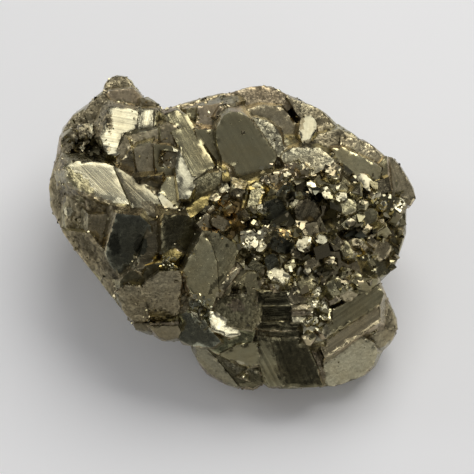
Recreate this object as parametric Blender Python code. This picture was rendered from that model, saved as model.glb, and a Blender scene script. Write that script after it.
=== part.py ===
"""Pyrite crystal cluster: brassy crystals of many sizes grown into one another, on a flat broken base.

The show face of the cluster leans towards the front. Its own axes are u (across, along world X),
v (up the slope) and w (out of the face), in millimetres, and the large crystals are laid out on it.
Every crystal is cleaved from a cube, plane by plane. The crystals, the hidden core and the crust of
small crystals are then united in one solid, which is sawn flat at z = 0 where it rests.
"""

import math
import random

import bmesh
import bpy
from mathutils import Euler, Matrix, Vector
from mathutils.geometry import convex_hull_2d

MM = 0.001

# Driving dimensions, in millimetres.
CLUSTER_LENGTH = 54.5               # along X, over the outermost crystals
LAYOUT_LENGTH = 54.5                # the length that the layout below is written for
SHOW_CENTRE_HEIGHT = 14.0           # the middle of the show face, above the base
SHOW_LEAN = math.radians(58.0)      # elevation of the show face's normal
DOME_HEIGHT = 12.0                  # the show face's rise in its middle
DOME_HALF_LENGTH = 27.0             # across, along u
DOME_HALF_WIDTH_BACK = 25.0         # up the slope, from the dome's top
DOME_HALF_WIDTH_FRONT = 19.0        # down the slope
DOME_TOP_V = -3.0                   # where the dome is highest
DOME_DROP_SIDES = 14.0
DOME_DROP_BACK = 16.0
DOME_DROP_FRONT = 9.0
DOME_FLATNESS_SIDES = 0.6           # from 0, round as a parabola, to 1, flat-topped
DOME_FLATNESS_ENDS = 0.5
LEAST_CUT = 0.02                    # a plane that would break off less than this is left out
CUT_MERGE = 0.001                   # corners this close to a plane lie on it
CRYSTAL_BLANK = 60.0                # the cube that a large crystal is cleaved from
CRYSTAL_DEPTH = 6.0                 # how far a large crystal reaches into the cluster
DRUSE_SPACING = 0.94                # between neighbours, as a share of their mean size
DRUSE_SINK = (-0.20, 0.12)          # how far a crust crystal's middle is from the bed, as a share of its size
TRIM_INSET = (0.3, 1.2)             # how far inside the outline the flank crystals end
DRUSE_INSET = (0.0, 0.4)            # the same for the crust's crystals
RIM_REACH = 1.0                     # a large crystal this near the outline has its sides trimmed there
RIM_PLAY = 0.12                     # how far its face may stand out there
DRUSE_TRIES = 700                   # spots drawn for each bed
DRUSE_CURVE = 1.6                   # above one, small crystals outnumber large ones
CRYSTAL_OVERLAP = 0.12              # how far each large crystal's face reaches past its corners' outline
LEADING_DEPTH = 2.5                 # how far a leading crystal reaches into the crust
LEADING_STEEPNESS = 2.5
LEADING_BEVEL = 0.28                # its cut corners, as a share of its width
GROUND_SPACING = 3.6                # between the corners of the groundmass that fills what crystals leave
GROUND_DEPTH = 0.7                  # how far it lies under the crystals around
GROUND_REACH = 1.1                  # how far away a crystal still holds it down
GROUND_INSET = 1.6                  # how far it stays inside the cluster's outline
GROUND_JITTER = 0.45
GROUND_THICKNESS = 8.0
PYRITOHEDRON_SHARE = 0.45           # of the loose crystals; the others are cubes with cleaved corners
PYRITOHEDRON_REACH = (0.46, 0.50)   # of its faces, as a share of the width
CLEAVED_REACH = (0.60, 0.72)        # of a cube's cleaved corners, as a share of the width
SAW_WIDTH = 100.0
DRUSE_SEED = 8
FLANK_SEED = 21
PIT_SEED = 5
GROUND_SEED = 3

FLAT_ANGLE = math.radians(0.2)      # faces closer than this in angle are one crystal face

SCALE = CLUSTER_LENGTH / LAYOUT_LENGTH
U_AXIS = Vector((1.0, 0.0, 0.0))
V_AXIS = Vector((0.0, math.sin(SHOW_LEAN), math.cos(SHOW_LEAN)))
W_AXIS = Vector((0.0, -math.cos(SHOW_LEAN), math.sin(SHOW_LEAN)))

# Large crystals: name, rise over the dome, lean of the face (u and v parts of its normal), steepness
# of the sides, and the corners of the face in (u, v).
LEFT_LOBE = [
    ("knob", 1.8, (-0.15, 0.30), 8, [
        (-20.0, 22.9), (-18.9, 24.2), (-16.8, 24.2), (-15.9, 23.2), (-15.2, 22.2), (-16.2, 20.9),
        (-19.6, 21.4)]),
    ("knob_face", 1.4, (-0.05, 0.12), 6, [
        (-20.0, 21.2), (-19.2, 22.0), (-15.6, 22.4), (-14.0, 20.7), (-14.4, 19.2), (-18.2, 19.7),
        (-19.8, 20.2)]),
    ("knob_cap", 0.7, (0.20, -0.10), 8, [
        (-14.4, 20.9), (-12.9, 20.3), (-12.0, 20.1), (-11.2, 18.9), (-11.0, 18.3), (-12.0, 18.8),
        (-14.6, 19.4)]),
    ("bright_face", 1.6, (0.02, 0.50), 3, [
        (-19.2, 19.6), (-14.4, 18.9), (-14.8, 15.2), (-16.3, 14.8), (-18.1, 12.0), (-19.2, 12.4),
        (-20.4, 15.1), (-19.2, 17.1)]),
    ("strip_light", 0.9, (-0.08, 0.55), 3, [(-14.7, 19.4), (-12.0, 18.9), (-12.4, 15.9), (-14.8, 15.4)]),
    ("strip_dark", 0.5, (0.55, 0.30), 3, [(-12.0, 18.9), (-11.0, 18.4), (-11.3, 16.0), (-12.4, 15.9)]),
    ("rough_upper", 1.2, (-0.32, 0.10), 8, [
        (-23.0, 18.9), (-21.9, 20.3), (-20.0, 21.8), (-18.9, 20.2), (-19.3, 17.6), (-20.4, 15.2),
        (-21.8, 16.0)]),
    ("rough_side", -0.2, (-0.42, 0.05), 8, [
        (-26.1, 16.3), (-24.7, 18.3), (-22.9, 19.3), (-21.9, 17.6), (-22.3, 15.6), (-26.5, 14.4)]),
    ("arch_foot", 0.7, (-0.30, -0.10), 3, [
        (-18.2, 11.2), (-17.8, 13.0), (-16.7, 14.8), (-15.9, 14.3), (-16.4, 12.6), (-17.0, 11.0)]),
    ("arch_back", 0.7, (0.00, -0.05), 3, [
        (-16.8, 14.8), (-14.8, 15.6), (-11.1, 16.2), (-11.2, 14.7), (-12.8, 14.3), (-14.8, 13.9),
        (-16.2, 13.4)]),
    ("arch_head", 0.8, (0.05, 0.00), 3, [
        (-11.3, 16.2), (-10.3, 16.9), (-8.7, 16.4), (-8.0, 15.3), (-8.9, 14.3), (-9.8, 13.3),
        (-11.3, 14.4)]),
    ("cave_block", -0.5, (0.02, -0.14), 3, [
        (-15.3, 13.2), (-12.8, 13.9), (-12.2, 12.9), (-11.9, 10.8), (-11.1, 9.8), (-11.2, 8.9),
        (-14.7, 8.5)]),
    ("cave_side", -0.6, (-0.42, -0.15), 3, [
        (-16.3, 12.6), (-15.3, 13.4), (-14.8, 10.5), (-14.7, 8.4), (-16.2, 8.6), (-17.2, 10.0),
        (-17.4, 11.0)]),
    ("cave_foot", -1.0, (0.05, -0.45), 3, [
        (-14.9, 8.8), (-11.2, 9.1), (-11.4, 7.3), (-12.4, 6.8), (-14.4, 7.4)]),
    ("cave_wall", -1.2, (0.22, 0.05), 3, [
        (-12.3, 13.7), (-9.8, 13.5), (-7.8, 12.1), (-7.9, 9.8), (-8.5, 8.6), (-11.2, 8.7),
        (-12.1, 10.5)]),
    ("pale_left", 2.2, (-0.03, 0.41), 3, [
        (-25.4, 11.4), (-21.9, 10.9), (-19.9, 11.0), (-18.0, 10.3), (-16.6, 8.8), (-14.6, 5.6),
        (-15.1, 4.0), (-18.1, 4.6), (-20.9, 5.7), (-23.5, 6.8), (-25.2, 8.2), (-25.8, 10.0)]),
    ("pale_right", -0.3, (-0.08, 0.42), 3, [
        (-18.1, 10.3), (-16.0, 8.9), (-14.0, 7.5), (-12.1, 6.8), (-9.8, 3.2), (-12.4, 3.1),
        (-15.2, 3.9)]),
    ("sliver", -0.6, (0.03, 0.50), 3, [
        (-12.2, 6.9), (-11.5, 6.6), (-8.6, 4.0), (-9.5, 3.1), (-10.4, 3.8)]),
    ("grey_face", -1.2, (-0.14, 0.40), 3, [
        (-11.4, 7.1), (-10.4, 8.8), (-8.5, 9.0), (-8.3, 7.8), (-8.6, 4.6), (-9.6, 4.2)]),
    ("flank_upper", 1.4, (-0.70, 0.00), 9, [
        (-28.2, 8.0), (-27.7, 10.0), (-26.9, 12.0), (-25.4, 11.6), (-25.2, 8.0), (-24.9, 2.0),
        (-26.1, 1.0), (-27.9, 4.4)]),
    ("flank_middle", 0.8, (-0.45, -0.15), 4, [
        (-25.6, 8.4), (-23.5, 6.7), (-21.8, 5.6), (-21.9, 1.0), (-23.8, -0.9), (-25.6, 0.9)]),
    ("flank_dark", 0.8, (-0.42, -0.30), 4, [
        (-22.4, 6.0), (-20.7, 5.6), (-17.7, 4.5), (-17.7, 3.1), (-20.3, 3.1), (-22.1, 1.2)]),
    ("flank_lower", 0.0, (-0.60, -0.42), 9, [
        (-26.0, 0.9), (-24.0, 0.4), (-22.0, 0.6), (-19.4, -2.6), (-17.3, -6.2), (-16.9, -8.6),
        (-17.2, -10.6), (-18.6, -8.4), (-20.4, -6.2), (-22.4, -4.0), (-24.4, -1.1)]),
    ("brown_face", 1.2, (-0.24, -0.18), 3, [
        (-22.1, 3.3), (-17.6, 3.3), (-18.9, -0.6), (-19.4, -2.3), (-21.4, -0.4), (-22.2, 1.0)]),
    ("blue_face", 0.6, (-0.12, -0.42), 3, [
        (-17.8, 3.4), (-14.4, 3.1), (-12.8, 1.6), (-13.0, -1.7), (-14.0, -3.0), (-14.8, -4.5),
        (-16.0, -5.3), (-17.7, -5.5), (-18.9, -4.1), (-19.5, -2.2)]),
    ("strip_brown", 0.4, (0.34, -0.10), 3, [
        (-12.9, 2.4), (-11.0, 2.0), (-11.0, -0.5), (-11.4, -2.1), (-13.0, -4.0), (-14.1, -5.4),
        (-14.9, -4.8)]),
    ("black_face", -1.0, (0.40, -0.28), 3, [
        (-11.1, 1.9), (-10.8, 3.2), (-7.4, 3.2), (-5.7, 2.0), (-4.8, 0.7), (-5.1, -0.8), (-6.7, -4.2),
        (-8.1, -5.4), (-11.1, -2.2)]),
    ("gold_nub", 0.0, (0.00, 0.42), 3, [
        (-11.0, -2.7), (-9.5, -1.5), (-8.2, -2.5), (-9.0, -3.4), (-10.8, -3.4)]),
    ("dark_band", 0.4, (-0.10, -0.42), 3, [
        (-17.4, -6.6), (-16.0, -5.2), (-14.8, -4.6), (-11.4, -4.7), (-10.4, -3.6), (-8.0, -5.2),
        (-13.2, -6.6), (-14.6, -7.7), (-17.2, -7.5)]),
    ("red_face", 0.0, (-0.08, -0.58), 9, [
        (-14.1, -8.0), (-13.3, -6.4), (-11.5, -5.2), (-8.6, -5.0), (-8.2, -6.2), (-8.6, -10.8),
        (-9.3, -11.9), (-11.8, -12.6), (-13.1, -12.1)]),
    ("red_side", 0.2, (-0.30, -0.50), 9, [
        (-17.9, -8.3), (-16.6, -7.2), (-14.2, -7.5), (-13.4, -10.6), (-13.0, -12.2), (-14.9, -12.9),
        (-16.8, -11.1)]),
    ("slot_block", -0.6, (0.00, -0.70), 9, [
        (-13.0, -13.2), (-8.9, -13.1), (-8.4, -14.1), (-8.9, -15.0), (-11.0, -15.4), (-11.8, -14.6)]),
    ("slot_side", -0.8, (-0.30, -0.60), 9, [
        (-15.3, -12.9), (-12.9, -12.9), (-12.9, -14.1), (-15.0, -13.7)]),
]
VALLEY = [
    ("top_edge", 0.4, (0.05, 0.20), 12, [
        (-11.3, 18.9), (-8.5, 19.6), (-5.0, 20.2), (-3.2, 21.0), (-2.0, 21.5), (-1.8, 20.0),
        (-5.5, 19.2), (-11.0, 18.0)]),
    ("long_grey", 0.6, (-0.13, 0.42), 3, [
        (-10.9, 18.3), (-9.2, 18.9), (-7.5, 18.2), (-6.1, 15.7), (-3.4, 10.6), (-4.6, 9.1),
        (-6.6, 9.1), (-8.6, 13.4)]),
    ("bright_slope", -0.4, (-0.08, 0.45), 3, [
        (-9.5, 13.3), (-7.8, 12.2), (-6.6, 9.2), (-5.9, 8.4), (-7.2, 5.7), (-8.5, 5.7), (-8.5, 7.8)]),
    ("valley_rough", 0.4, (0.10, 0.10), 3, [
        (-7.6, 19.2), (-5.2, 19.5), (-5.5, 17.8), (-6.1, 16.1), (-7.1, 17.6)]),
    ("upper_brown", 1.4, (-0.05, 0.14), 4, [
        (-5.7, 19.5), (-2.2, 20.0), (-2.8, 18.0), (-3.5, 15.8), (-6.2, 15.9), (-5.6, 17.9)]),
    ("upper_glint", 3.6, (0.05, 0.50), 3, [(-2.5, 19.4), (-2.1, 19.1), (-2.8, 17.7), (-3.1, 18.0)]),
    ("upper_olive", -0.2, (0.10, 0.10), 3, [
        (-6.2, 16.0), (-3.5, 15.9), (-2.7, 13.0), (-2.5, 10.0), (-5.5, 13.5)]),
    ("gold_wedge", -0.8, (0.00, 0.40), 3, [
        (-7.6, 4.3), (-4.8, 6.1), (-2.0, 7.2), (-2.5, 6.2), (-4.7, 4.5), (-6.8, 2.9)]),
    ("olive_arch", -1.0, (0.10, -0.38), 3, [
        (-7.5, 5.0), (-6.3, 8.2), (-4.4, 9.4), (-1.8, 9.7), (-1.0, 8.4), (-2.1, 7.0), (-4.7, 5.8)]),
    ("olive_box", 0.2, (0.20, 0.25), 3, [(-2.2, 10.7), (-1.1, 10.1), (-1.0, 8.3), (-2.1, 8.4)]),
]
DOME = [
    ("oval", 0.6, (0.12, -0.12), 5, [
        (-3.0, 16.0), (-2.0, 17.9), (-1.0, 18.6), (0.4, 18.5), (1.8, 17.6), (5.0, 13.4), (5.9, 12.2),
        (5.4, 10.6), (4.1, 8.2), (2.7, 7.8), (0.9, 7.9), (-1.8, 10.6), (-3.0, 14.0)]),
    ("oval_strip", 0.9, (0.26, 0.20), 5, [
        (1.7, 17.8), (2.9, 17.6), (4.6, 17.2), (6.1, 15.9), (7.2, 13.0), (6.5, 11.9), (5.7, 12.2)]),
    ("oval_left", 2.6, (-0.15, 0.20), 3, [
        (-2.3, 19.6), (-0.2, 20.0), (-0.4, 18.5), (-2.0, 17.9), (-3.0, 15.8), (-3.3, 17.2)]),
    ("dark_dome", -0.2, (0.30, 0.10), 5, [
        (1.7, 19.0), (3.5, 19.6), (6.5, 19.5), (7.5, 18.5), (9.2, 16.3), (9.5, 13.8), (7.3, 13.1),
        (6.0, 14.5), (4.0, 17.3), (2.8, 18.3)]),
    ("bright_lens", 0.3, (0.20, 0.50), 3, [
        (10.0, 18.9), (11.4, 17.8), (11.8, 16.9), (11.7, 15.8), (11.0, 14.4), (10.0, 13.8),
        (9.4, 15.3), (9.4, 16.8)]),
    ("top_brown", 2.6, (0.00, 0.26), 12, [
        (-2.0, 21.2), (-0.5, 21.7), (2.1, 22.5), (4.1, 22.6), (5.9, 22.2), (8.7, 20.5), (7.8, 19.1),
        (3.0, 18.8), (-0.4, 19.6)]),
    ("right_top", 1.1, (0.30, 0.20), 9, [
        (7.6, 20.9), (10.2, 19.8), (12.0, 19.2), (13.8, 17.8), (15.2, 16.0), (12.4, 15.1), (9.0, 18.4)]),
    ("right_ridge", 0.7, (0.20, 0.22), 6, [
        (12.2, 15.3), (15.2, 16.1), (17.5, 15.2), (18.2, 14.3), (15.5, 14.3), (14.3, 13.0),
        (11.0, 13.6)]),
    ("right_shoulder", 1.0, (0.38, 0.15), 9, [
        (15.4, 15.0), (18.1, 14.5), (19.9, 13.8), (22.2, 11.9), (21.5, 10.0), (18.2, 11.6),
        (15.6, 13.2)]),
    ("right_slope", 0.9, (0.20, 0.02), 4, [
        (14.2, 13.2), (15.7, 13.5), (18.4, 12.0), (21.4, 10.3), (21.2, 8.1), (19.8, 8.6), (17.4, 9.4),
        (15.4, 11.2)]),
    ("pale_flat", 0.4, (-0.12, 0.38), 3, [
        (6.5, 12.0), (7.4, 13.0), (10.0, 13.4), (12.2, 13.2), (13.8, 12.0), (14.4, 11.3), (12.7, 10.1),
        (10.6, 9.0), (7.4, 10.4)]),
    ("pale_foot", 0.0, (-0.25, 0.22), 3, [(7.2, 10.9), (9.0, 11.0), (10.6, 9.0), (8.2, 8.7), (7.2, 9.8)]),
    ("right_block", 1.6, (0.45, 0.10), 14, [
        (22.2, 11.9), (23.2, 11.9), (24.4, 10.5), (25.5, 8.6), (26.3, 7.2), (26.7, 5.8), (26.0, 4.7),
        (25.0, 5.2), (22.3, 7.1)]),
    ("right_bars", 1.6, (0.25, 0.15), 3, [(21.2, 10.8), (22.3, 12.0), (22.6, 7.0), (21.1, 7.8)]),
    ("small_pale", 1.0, (-0.10, 0.42), 3, [
        (17.5, 9.1), (18.7, 9.4), (19.4, 9.2), (20.0, 8.4), (19.8, 6.9), (19.2, 7.1)]),
]
FRONT = [
    ("big_face", 0.4, (-0.10, -0.12), 3, [
        (-8.0, -5.3), (-5.0, 0.7), (-3.7, -1.5), (-3.0, -4.0), (-2.8, -8.2), (-3.9, -10.7),
        (-6.1, -9.2), (-7.0, -8.0)]),
    ("mid_mass", 0.2, (0.08, -0.10), 3, [
        (-5.0, 0.9), (-2.7, 0.5), (-0.2, -1.2), (1.1, -5.0), (0.0, -7.2), (-3.0, -8.8), (-3.4, -4.0)]),
    ("fan_ridge_low", 0.3, (-0.35, 0.05), 3, [(0.0, -3.9), (0.6, -4.5), (-2.5, -8.9), (-3.2, -8.5)]),
    ("fan_ridge_high", 0.2, (-0.30, 0.10), 3, [(0.8, -4.4), (1.4, -5.0), (-1.4, -8.5), (-2.0, -8.2)]),
    ("low_block", 0.0, (0.10, -0.08), 3, [
        (0.4, -5.2), (3.2, -5.3), (3.4, -8.1), (1.6, -8.4), (0.4, -6.8)]),
    ("low_ground", -0.2, (-0.05, -0.22), 3, [
        (-4.0, -10.6), (-2.8, -8.6), (0.0, -9.2), (3.4, -8.3), (3.5, -12.5), (2.4, -13.9),
        (-0.6, -13.4), (-2.2, -12.8)]),
    ("crescent", 0.1, (0.19, -0.28), 3, [
        (-4.1, -11.0), (-3.2, -11.2), (-0.6, -13.2), (1.4, -14.2), (-0.8, -14.9), (-2.1, -14.5),
        (-3.6, -13.8), (-4.0, -12.3)]),
    ("dark_cleft", -1.6, (-0.40, -0.22), 3, [
        (-8.8, -5.0), (-7.7, -5.2), (-6.8, -8.0), (-6.8, -10.8), (-8.7, -11.4)]),
    ("blue_side", -0.9, (-0.45, -0.25), 4, [
        (-8.5, -10.8), (-7.0, -10.4), (-5.0, -12.6), (-3.8, -14.4), (-2.5, -15.5), (-3.7, -16.3),
        (-6.7, -16.2), (-8.5, -15.3)]),
    ("green_under", -0.5, (-0.10, -0.42), 3, [
        (-5.2, -16.1), (-3.6, -13.9), (-0.8, -14.9), (1.3, -14.2), (2.7, -13.7), (2.3, -15.4),
        (0.1, -16.2), (-2.7, -17.4)]),
    ("foot_left", -0.2, (-0.22, -0.62), 9, [
        (-6.1, -16.4), (-4.9, -16.3), (-2.7, -18.7), (-1.2, -20.9), (0.1, -22.3), (-1.6, -21.9),
        (-4.2, -20.2), (-5.9, -18.3)]),
    ("foot_streak", -0.4, (0.22, -0.42), 9, [
        (-4.9, -16.4), (-3.3, -17.0), (-0.3, -18.3), (2.8, -19.0), (3.9, -21.6), (2.4, -22.6),
        (0.1, -22.3), (-1.2, -20.9), (-2.7, -18.7)]),
    ("foot_pale", 0.0, (0.00, -0.62), 3, [
        (-2.4, -17.4), (0.1, -16.1), (2.9, -15.7), (3.4, -18.9), (1.6, -19.1), (-0.4, -18.5)]),
    ("striated_band", 0.7, (-0.20, -0.50), 9, [
        (3.0, -14.7), (4.7, -14.9), (5.3, -17.6), (6.9, -22.1), (5.0, -22.3), (4.1, -21.4),
        (3.4, -18.9)]),
    ("striated_block", 0.6, (0.15, -0.40), 9, [
        (4.4, -14.9), (10.1, -15.2), (10.7, -17.2), (12.0, -19.6), (12.8, -22.3), (6.7, -22.4),
        (5.0, -17.6)]),
    ("gap_face", -1.0, (0.45, -0.25), 6, [
        (9.9, -15.4), (12.7, -16.6), (13.3, -18.0), (13.0, -22.0), (11.8, -21.0)]),
    ("block_roof", 1.1, (0.20, 0.02), 4, [
        (12.4, -15.3), (13.1, -13.7), (14.4, -10.8), (17.2, -9.4), (20.0, -7.7), (21.1, -7.3),
        (21.8, -8.4), (21.2, -10.2), (14.4, -14.1)]),
    ("block_top", 0.9, (0.06, -0.10), 4, [
        (12.4, -15.4), (14.4, -14.1), (21.2, -10.1), (21.3, -12.7), (17.6, -14.9), (14.4, -17.2),
        (13.1, -17.9), (12.5, -16.8)]),
    ("block_front", 0.7, (0.12, -0.58), 9, [
        (13.1, -18.0), (14.4, -17.1), (18.4, -14.7), (20.3, -15.8), (21.0, -17.2), (20.3, -19.2),
        (18.9, -20.7), (16.6, -21.6), (14.4, -22.3), (12.9, -22.0)]),
    ("block_end", 0.6, (0.60, -0.05), 9, [
        (21.0, -7.2), (22.6, -10.1), (23.7, -12.3), (24.0, -13.8), (22.6, -13.8), (21.2, -12.8),
        (21.0, -10.1)]),
    ("block_heel", 0.3, (0.45, -0.42), 9, [
        (21.2, -12.6), (23.9, -13.7), (23.2, -15.5), (21.7, -16.6), (20.3, -16.4), (19.6, -14.2)]),
    ("pale_lower", 1.0, (0.15, -0.55), 3, [
        (15.2, -9.6), (16.0, -7.4), (17.6, -6.0), (21.0, -6.3), (20.2, -7.7), (17.2, -9.7)]),
]

# Beds that carry the crust of small crystals: as above, with the smallest and largest crystal's width.
DRUSE_BEDS = [
    ("upper_bed", -1.2, (0.16, 0.18), 2.5, (1.8, 3.5), [
        (1.2, 8.1), (7.4, 10.2), (15.2, 9.6), (17.4, 7.2), (18.6, 6.0), (18.6, 1.8), (9.4, 0.0),
        (3.4, 0.8), (0.8, 4.0)]),
    ("right_bed", -0.2, (0.52, 0.06), 5, (1.9, 3.8), [
        (17.0, 6.5), (21.0, 6.6), (24.4, 5.6), (25.2, 3.2), (24.9, 0.3), (23.8, -3.8), (22.6, -5.4),
        (20.9, -6.1), (15.4, -1.9)]),
    ("lower_bed", -0.9, (0.17, -0.06), 2.5, (1.8, 3.3), [
        (0.6, 0.8), (9.4, 1.2), (16.8, -0.8), (18.6, -5.9), (15.2, -9.4), (12.6, -10.6), (9.0, -8.0),
        (3.1, -7.0), (0.9, -4.9)]),
    ("golden_bed", -1.5, (0.02, 0.14), 2.5, (1.6, 2.8), [
        (-4.9, 2.8), (-4.4, 4.8), (-1.8, 7.1), (1.2, 8.0), (1.6, 3.0), (0.8, -1.2), (-2.6, 0.2),
        (-4.7, 0.8)]),
    ("pocket_bed", -1.7, (-0.25, -0.10), 6, (1.7, 2.6), [
        (-26.4, 14.9), (-22.2, 15.9), (-20.2, 15.3), (-18.6, 12.3), (-19.2, 11.0), (-22.0, 10.9),
        (-26.6, 11.6)]),
    ("ledge_bed", -0.4, (0.10, 0.20), 3, (1.5, 2.2), [
        (10.8, -7.7), (13.0, -8.4), (13.5, -11.0), (12.6, -15.4), (10.0, -15.2), (9.8, -12.6)]),
    ("sparkle_bed", -1.0, (-0.15, -0.10), 3, (1.4, 2.0), [
        (-7.2, -8.4), (-6.1, -9.1), (-3.9, -10.8), (-3.7, -13.6), (-5.0, -12.9), (-6.9, -10.9)]),
]

# Crystals that stand out of the crust: middle (u, v), length, width, turn of the length from u towards v
# in degrees, lean and rise as above.
LEADING_CRYSTALS = [
    ((11.2, 7.3), 2.0, 0.9, -60, (0.05, 0.50), 0.4), ((13.2, 6.6), 1.8, 1.0, -65, (0.05, 0.50), 0.5),
    ((15.5, 6.0), 1.5, 1.3, 10, (0.12, 0.48), 0.8), ((9.5, 6.1), 1.4, 0.8, 5, (0.05, 0.50), 0.5),
    ((3.7, 4.2), 1.3, 1.0, -20, (0.10, 0.48), 0.7), ((2.8, 2.2), 1.1, 0.7, -20, (0.10, 0.50), 0.0),
    ((16.3, 4.4), 2.6, 1.9, 30, (-0.05, 0.36), 0.9), ((9.9, -1.0), 2.1, 1.8, 70, (0.10, 0.48), 0.5),
    ((12.5, -0.3), 1.6, 1.1, -10, (0.10, 0.50), 0.9), ((6.1, -5.5), 3.2, 1.7, -20, (0.05, 0.50), 0.4),
    ((2.2, -0.6), 1.9, 1.4, -50, (0.12, 0.48), 0.3), ((3.5, -1.4), 1.6, 1.1, 40, (0.00, 0.50), 0.2),
    ((7.9, -4.2), 1.6, 1.1, 40, (0.10, 0.46), 0.3), ((10.4, -5.0), 1.0, 0.8, 60, (0.05, 0.50), 0.6),
    ((11.8, -8.1), 1.2, 1.0, 80, (0.05, 0.50), 0.5), ((11.6, -9.8), 1.2, 1.1, 0, (0.10, 0.48), 0.4),
    ((12.9, -10.2), 1.5, 0.9, 80, (0.00, 0.50), 0.4), ((11.6, -12.1), 1.4, 0.8, 85, (0.10, 0.50), 0.3),
    ((10.4, -6.7), 2.6, 2.2, 45, (0.00, 0.20), 0.6), ((16.2, -1.9), 2.6, 1.4, -65, (-0.10, 0.36), 1.1),
    ((17.6, -0.7), 2.0, 0.9, -5, (-0.05, 0.40), 0.6), ((2.8, 5.9), 4.2, 1.7, 78, (0.10, 0.34), 0.3),
    ((24.1, 4.7), 2.2, 1.5, 60, (0.15, 0.46), 1.6), ((6.5, -1.2), 3.2, 2.1, -25, (0.45, -0.36), 0.3),
    ((9.3, -2.5), 2.6, 1.3, -15, (0.42, -0.30), 0.3), ((5.2, -3.8), 2.3, 1.8, -70, (0.46, -0.30), 0.2),
    ((5.6, 4.0), 3.2, 3.0, 20, (0.46, -0.36), -0.3), ((7.2, 6.6), 3.0, 1.8, 50, (0.50, -0.25), -0.2),
    ((10.4, 3.8), 3.4, 3.2, -30, (0.36, -0.40), 0.2), ((11.2, -4.2), 2.2, 1.9, 20, (0.42, -0.30), 0.3),
    ((6.7, 0.5), 2.4, 1.2, -10, (0.00, 0.30), 0.1), ((-2.4, 2.0), 2.6, 1.6, -30, (0.20, -0.05), 0.0),
    ((19.6, 3.0), 2.6, 2.0, 20, (0.50, 0.10), 0.5), ((21.6, -2.0), 2.8, 2.2, 60, (0.45, -0.10), 0.5),
]

# The ledges stand in steps down the front: each band's lower and upper edge in v, and its rise.
LEDGES = [(-10.1, -8.1, 0.1), (-12.6, -10.1, -0.5), (-13.8, -12.6, -0.1), (-15.0, -13.8, -0.6)]
LEDGE_SPAN = (3.1, 9.3)
LEDGE_LEAN = (0.10, -0.36)
# Finer ledges beside them.
FINE_LEDGE_TOP_V = -7.8
FINE_LEDGE_BAND = 0.95
FINE_LEDGE_SPAN = (8.2, 11.2)
FINE_LEDGE_LEANS = [(0.05, 0.44), (0.05, -0.30)]
FINE_LEDGE_COUNT = 5
FINE_LEDGE_RISE = 0.2

# Pits where crystals broke out or never met: centre in (u, v), rise over the dome, width.
PITS = [
    ((-10.4, 11.6), -0.2, 2.4), ((-21.4, 13.2), -0.8, 3.0), ((8.6, 5.6), -0.1, 2.6),
    ((13.4, -5.2), 0.6, 2.6), ((20.3, -15.0), 0.9, 1.9), ((0.3, -8.0), 0.2, 2.0), ((1.1, -2.9), 0.2, 2.0),
    ((13.8, 2.6), 0.2, 2.4), ((-12.2, 7.6), -0.4, 2.0), ((18.3, 6.2), 0.5, 2.2),
]
# A narrow slot between two blocks at the left foot: middle in (u, v), length, width and depth.
SLOT_MIDDLE = (-10.9, -12.85)
SLOT_SIZE = (4.4, 0.5, 5.0)

# The cluster's outline on the show face, in (u, v), clockwise from the knob.
OUTLINE = [
    (-19.9, 22.3), (-19.3, 23.7), (-18.0, 24.3), (-16.5, 24.0), (-14.9, 21.5), (-11.1, 19.0), (-7.0, 19.6),
    (-3.3, 20.7), (1.5, 22.3), (5.2, 22.5), (8.7, 20.4), (14.1, 17.7), (21.5, 12.0), (23.7, 11.7),
    (26.0, 8.5), (26.7, 5.8), (25.3, 3.6), (25.2, 0.6), (23.7, -4.0), (21.2, -6.5), (23.7, -11.7),
    (23.8, -14.7), (20.2, -20.2), (15.5, -22.0), (2.0, -22.8), (-4.3, -20.5), (-7.0, -15.9), (-11.6, -15.2),
    (-14.9, -13.4), (-18.8, -7.7), (-26.1, 1.4), (-28.0, 5.1), (-28.2, 8.2), (-27.7, 10.0), (-26.4, 16.5),
    (-24.2, 19.0), (-20.8, 21.5),
]

# Core lumps inside the cluster: centre and half sizes in world (x, y, z).
CORE_LUMPS = [
    ((1.0, -1.0, 10.5), (18.0, 13.0, 8.0)),
    ((-15.0, 1.0, 12.5), (8.0, 12.0, 7.0)),
    ((9.0, 5.0, 10.5), (13.0, 12.0, 8.5)),
    ((0.0, 0.5, 6.0), (17.0, 13.5, 8.0)),
]
# Crystals of the flanks, the back and the underside: centre in world (x, y, z) and width over the faces.
FLANK_CRYSTALS = [
    ((-20.0, 14.0, 12.0), 11.0), ((-14.0, 18.0, 11.0), 11.0), ((-22.0, 6.0, 10.0), 10.0),
    ((-18.0, -2.0, 8.0), 9.0), ((-17.0, 8.0, 5.5), 12.0), ((-12.0, 14.0, 5.0), 11.0),
    ((-12.0, -6.0, 6.0), 9.0), ((-11.0, 1.0, 3.0), 10.0), ((-7.0, 18.0, 14.0), 10.0),
    ((-5.0, 15.0, 6.0), 12.0), ((0.0, 20.0, 15.0), 10.0), ((4.0, 18.0, 7.0), 12.0),
    ((8.0, 19.0, 16.0), 9.0), ((12.0, 15.0, 12.0), 11.0), ((11.0, 14.0, 4.5), 11.0),
    ((18.0, 12.0, 13.0), 9.0), ((18.0, 8.0, 7.0), 11.0), ((22.0, 5.0, 12.0), 8.0), ((19.0, 0.0, 7.0), 10.0),
    ((20.0, -7.0, 8.0), 8.0), ((15.0, -6.0, 4.5), 11.0), ((17.0, -13.0, 6.0), 8.0),
    ((9.0, -13.0, 5.0), 10.0), ((3.0, -14.0, 4.5), 9.0), ((-3.0, -10.0, 4.5), 10.0),
    ((7.0, -18.0, 4.0), 6.5), ((0.0, -19.0, 4.0), 5.5), ((-7.0, -8.0, 3.0), 9.0),
]
CLEAVED_COUNT = 2                   # how many of these a cube loses
CLEAVED_CORNERS = [(1, 1, 1), (-1, 1, 1), (1, -1, -1), (-1, -1, 1)]


def show_point(u, v, w):
    """Return the world position, in metres, of a point given on the show face."""
    height = Vector((0.0, 0.0, SHOW_CENTRE_HEIGHT))
    return (height + u * U_AXIS + v * V_AXIS + w * W_AXIS) * MM * SCALE


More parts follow.
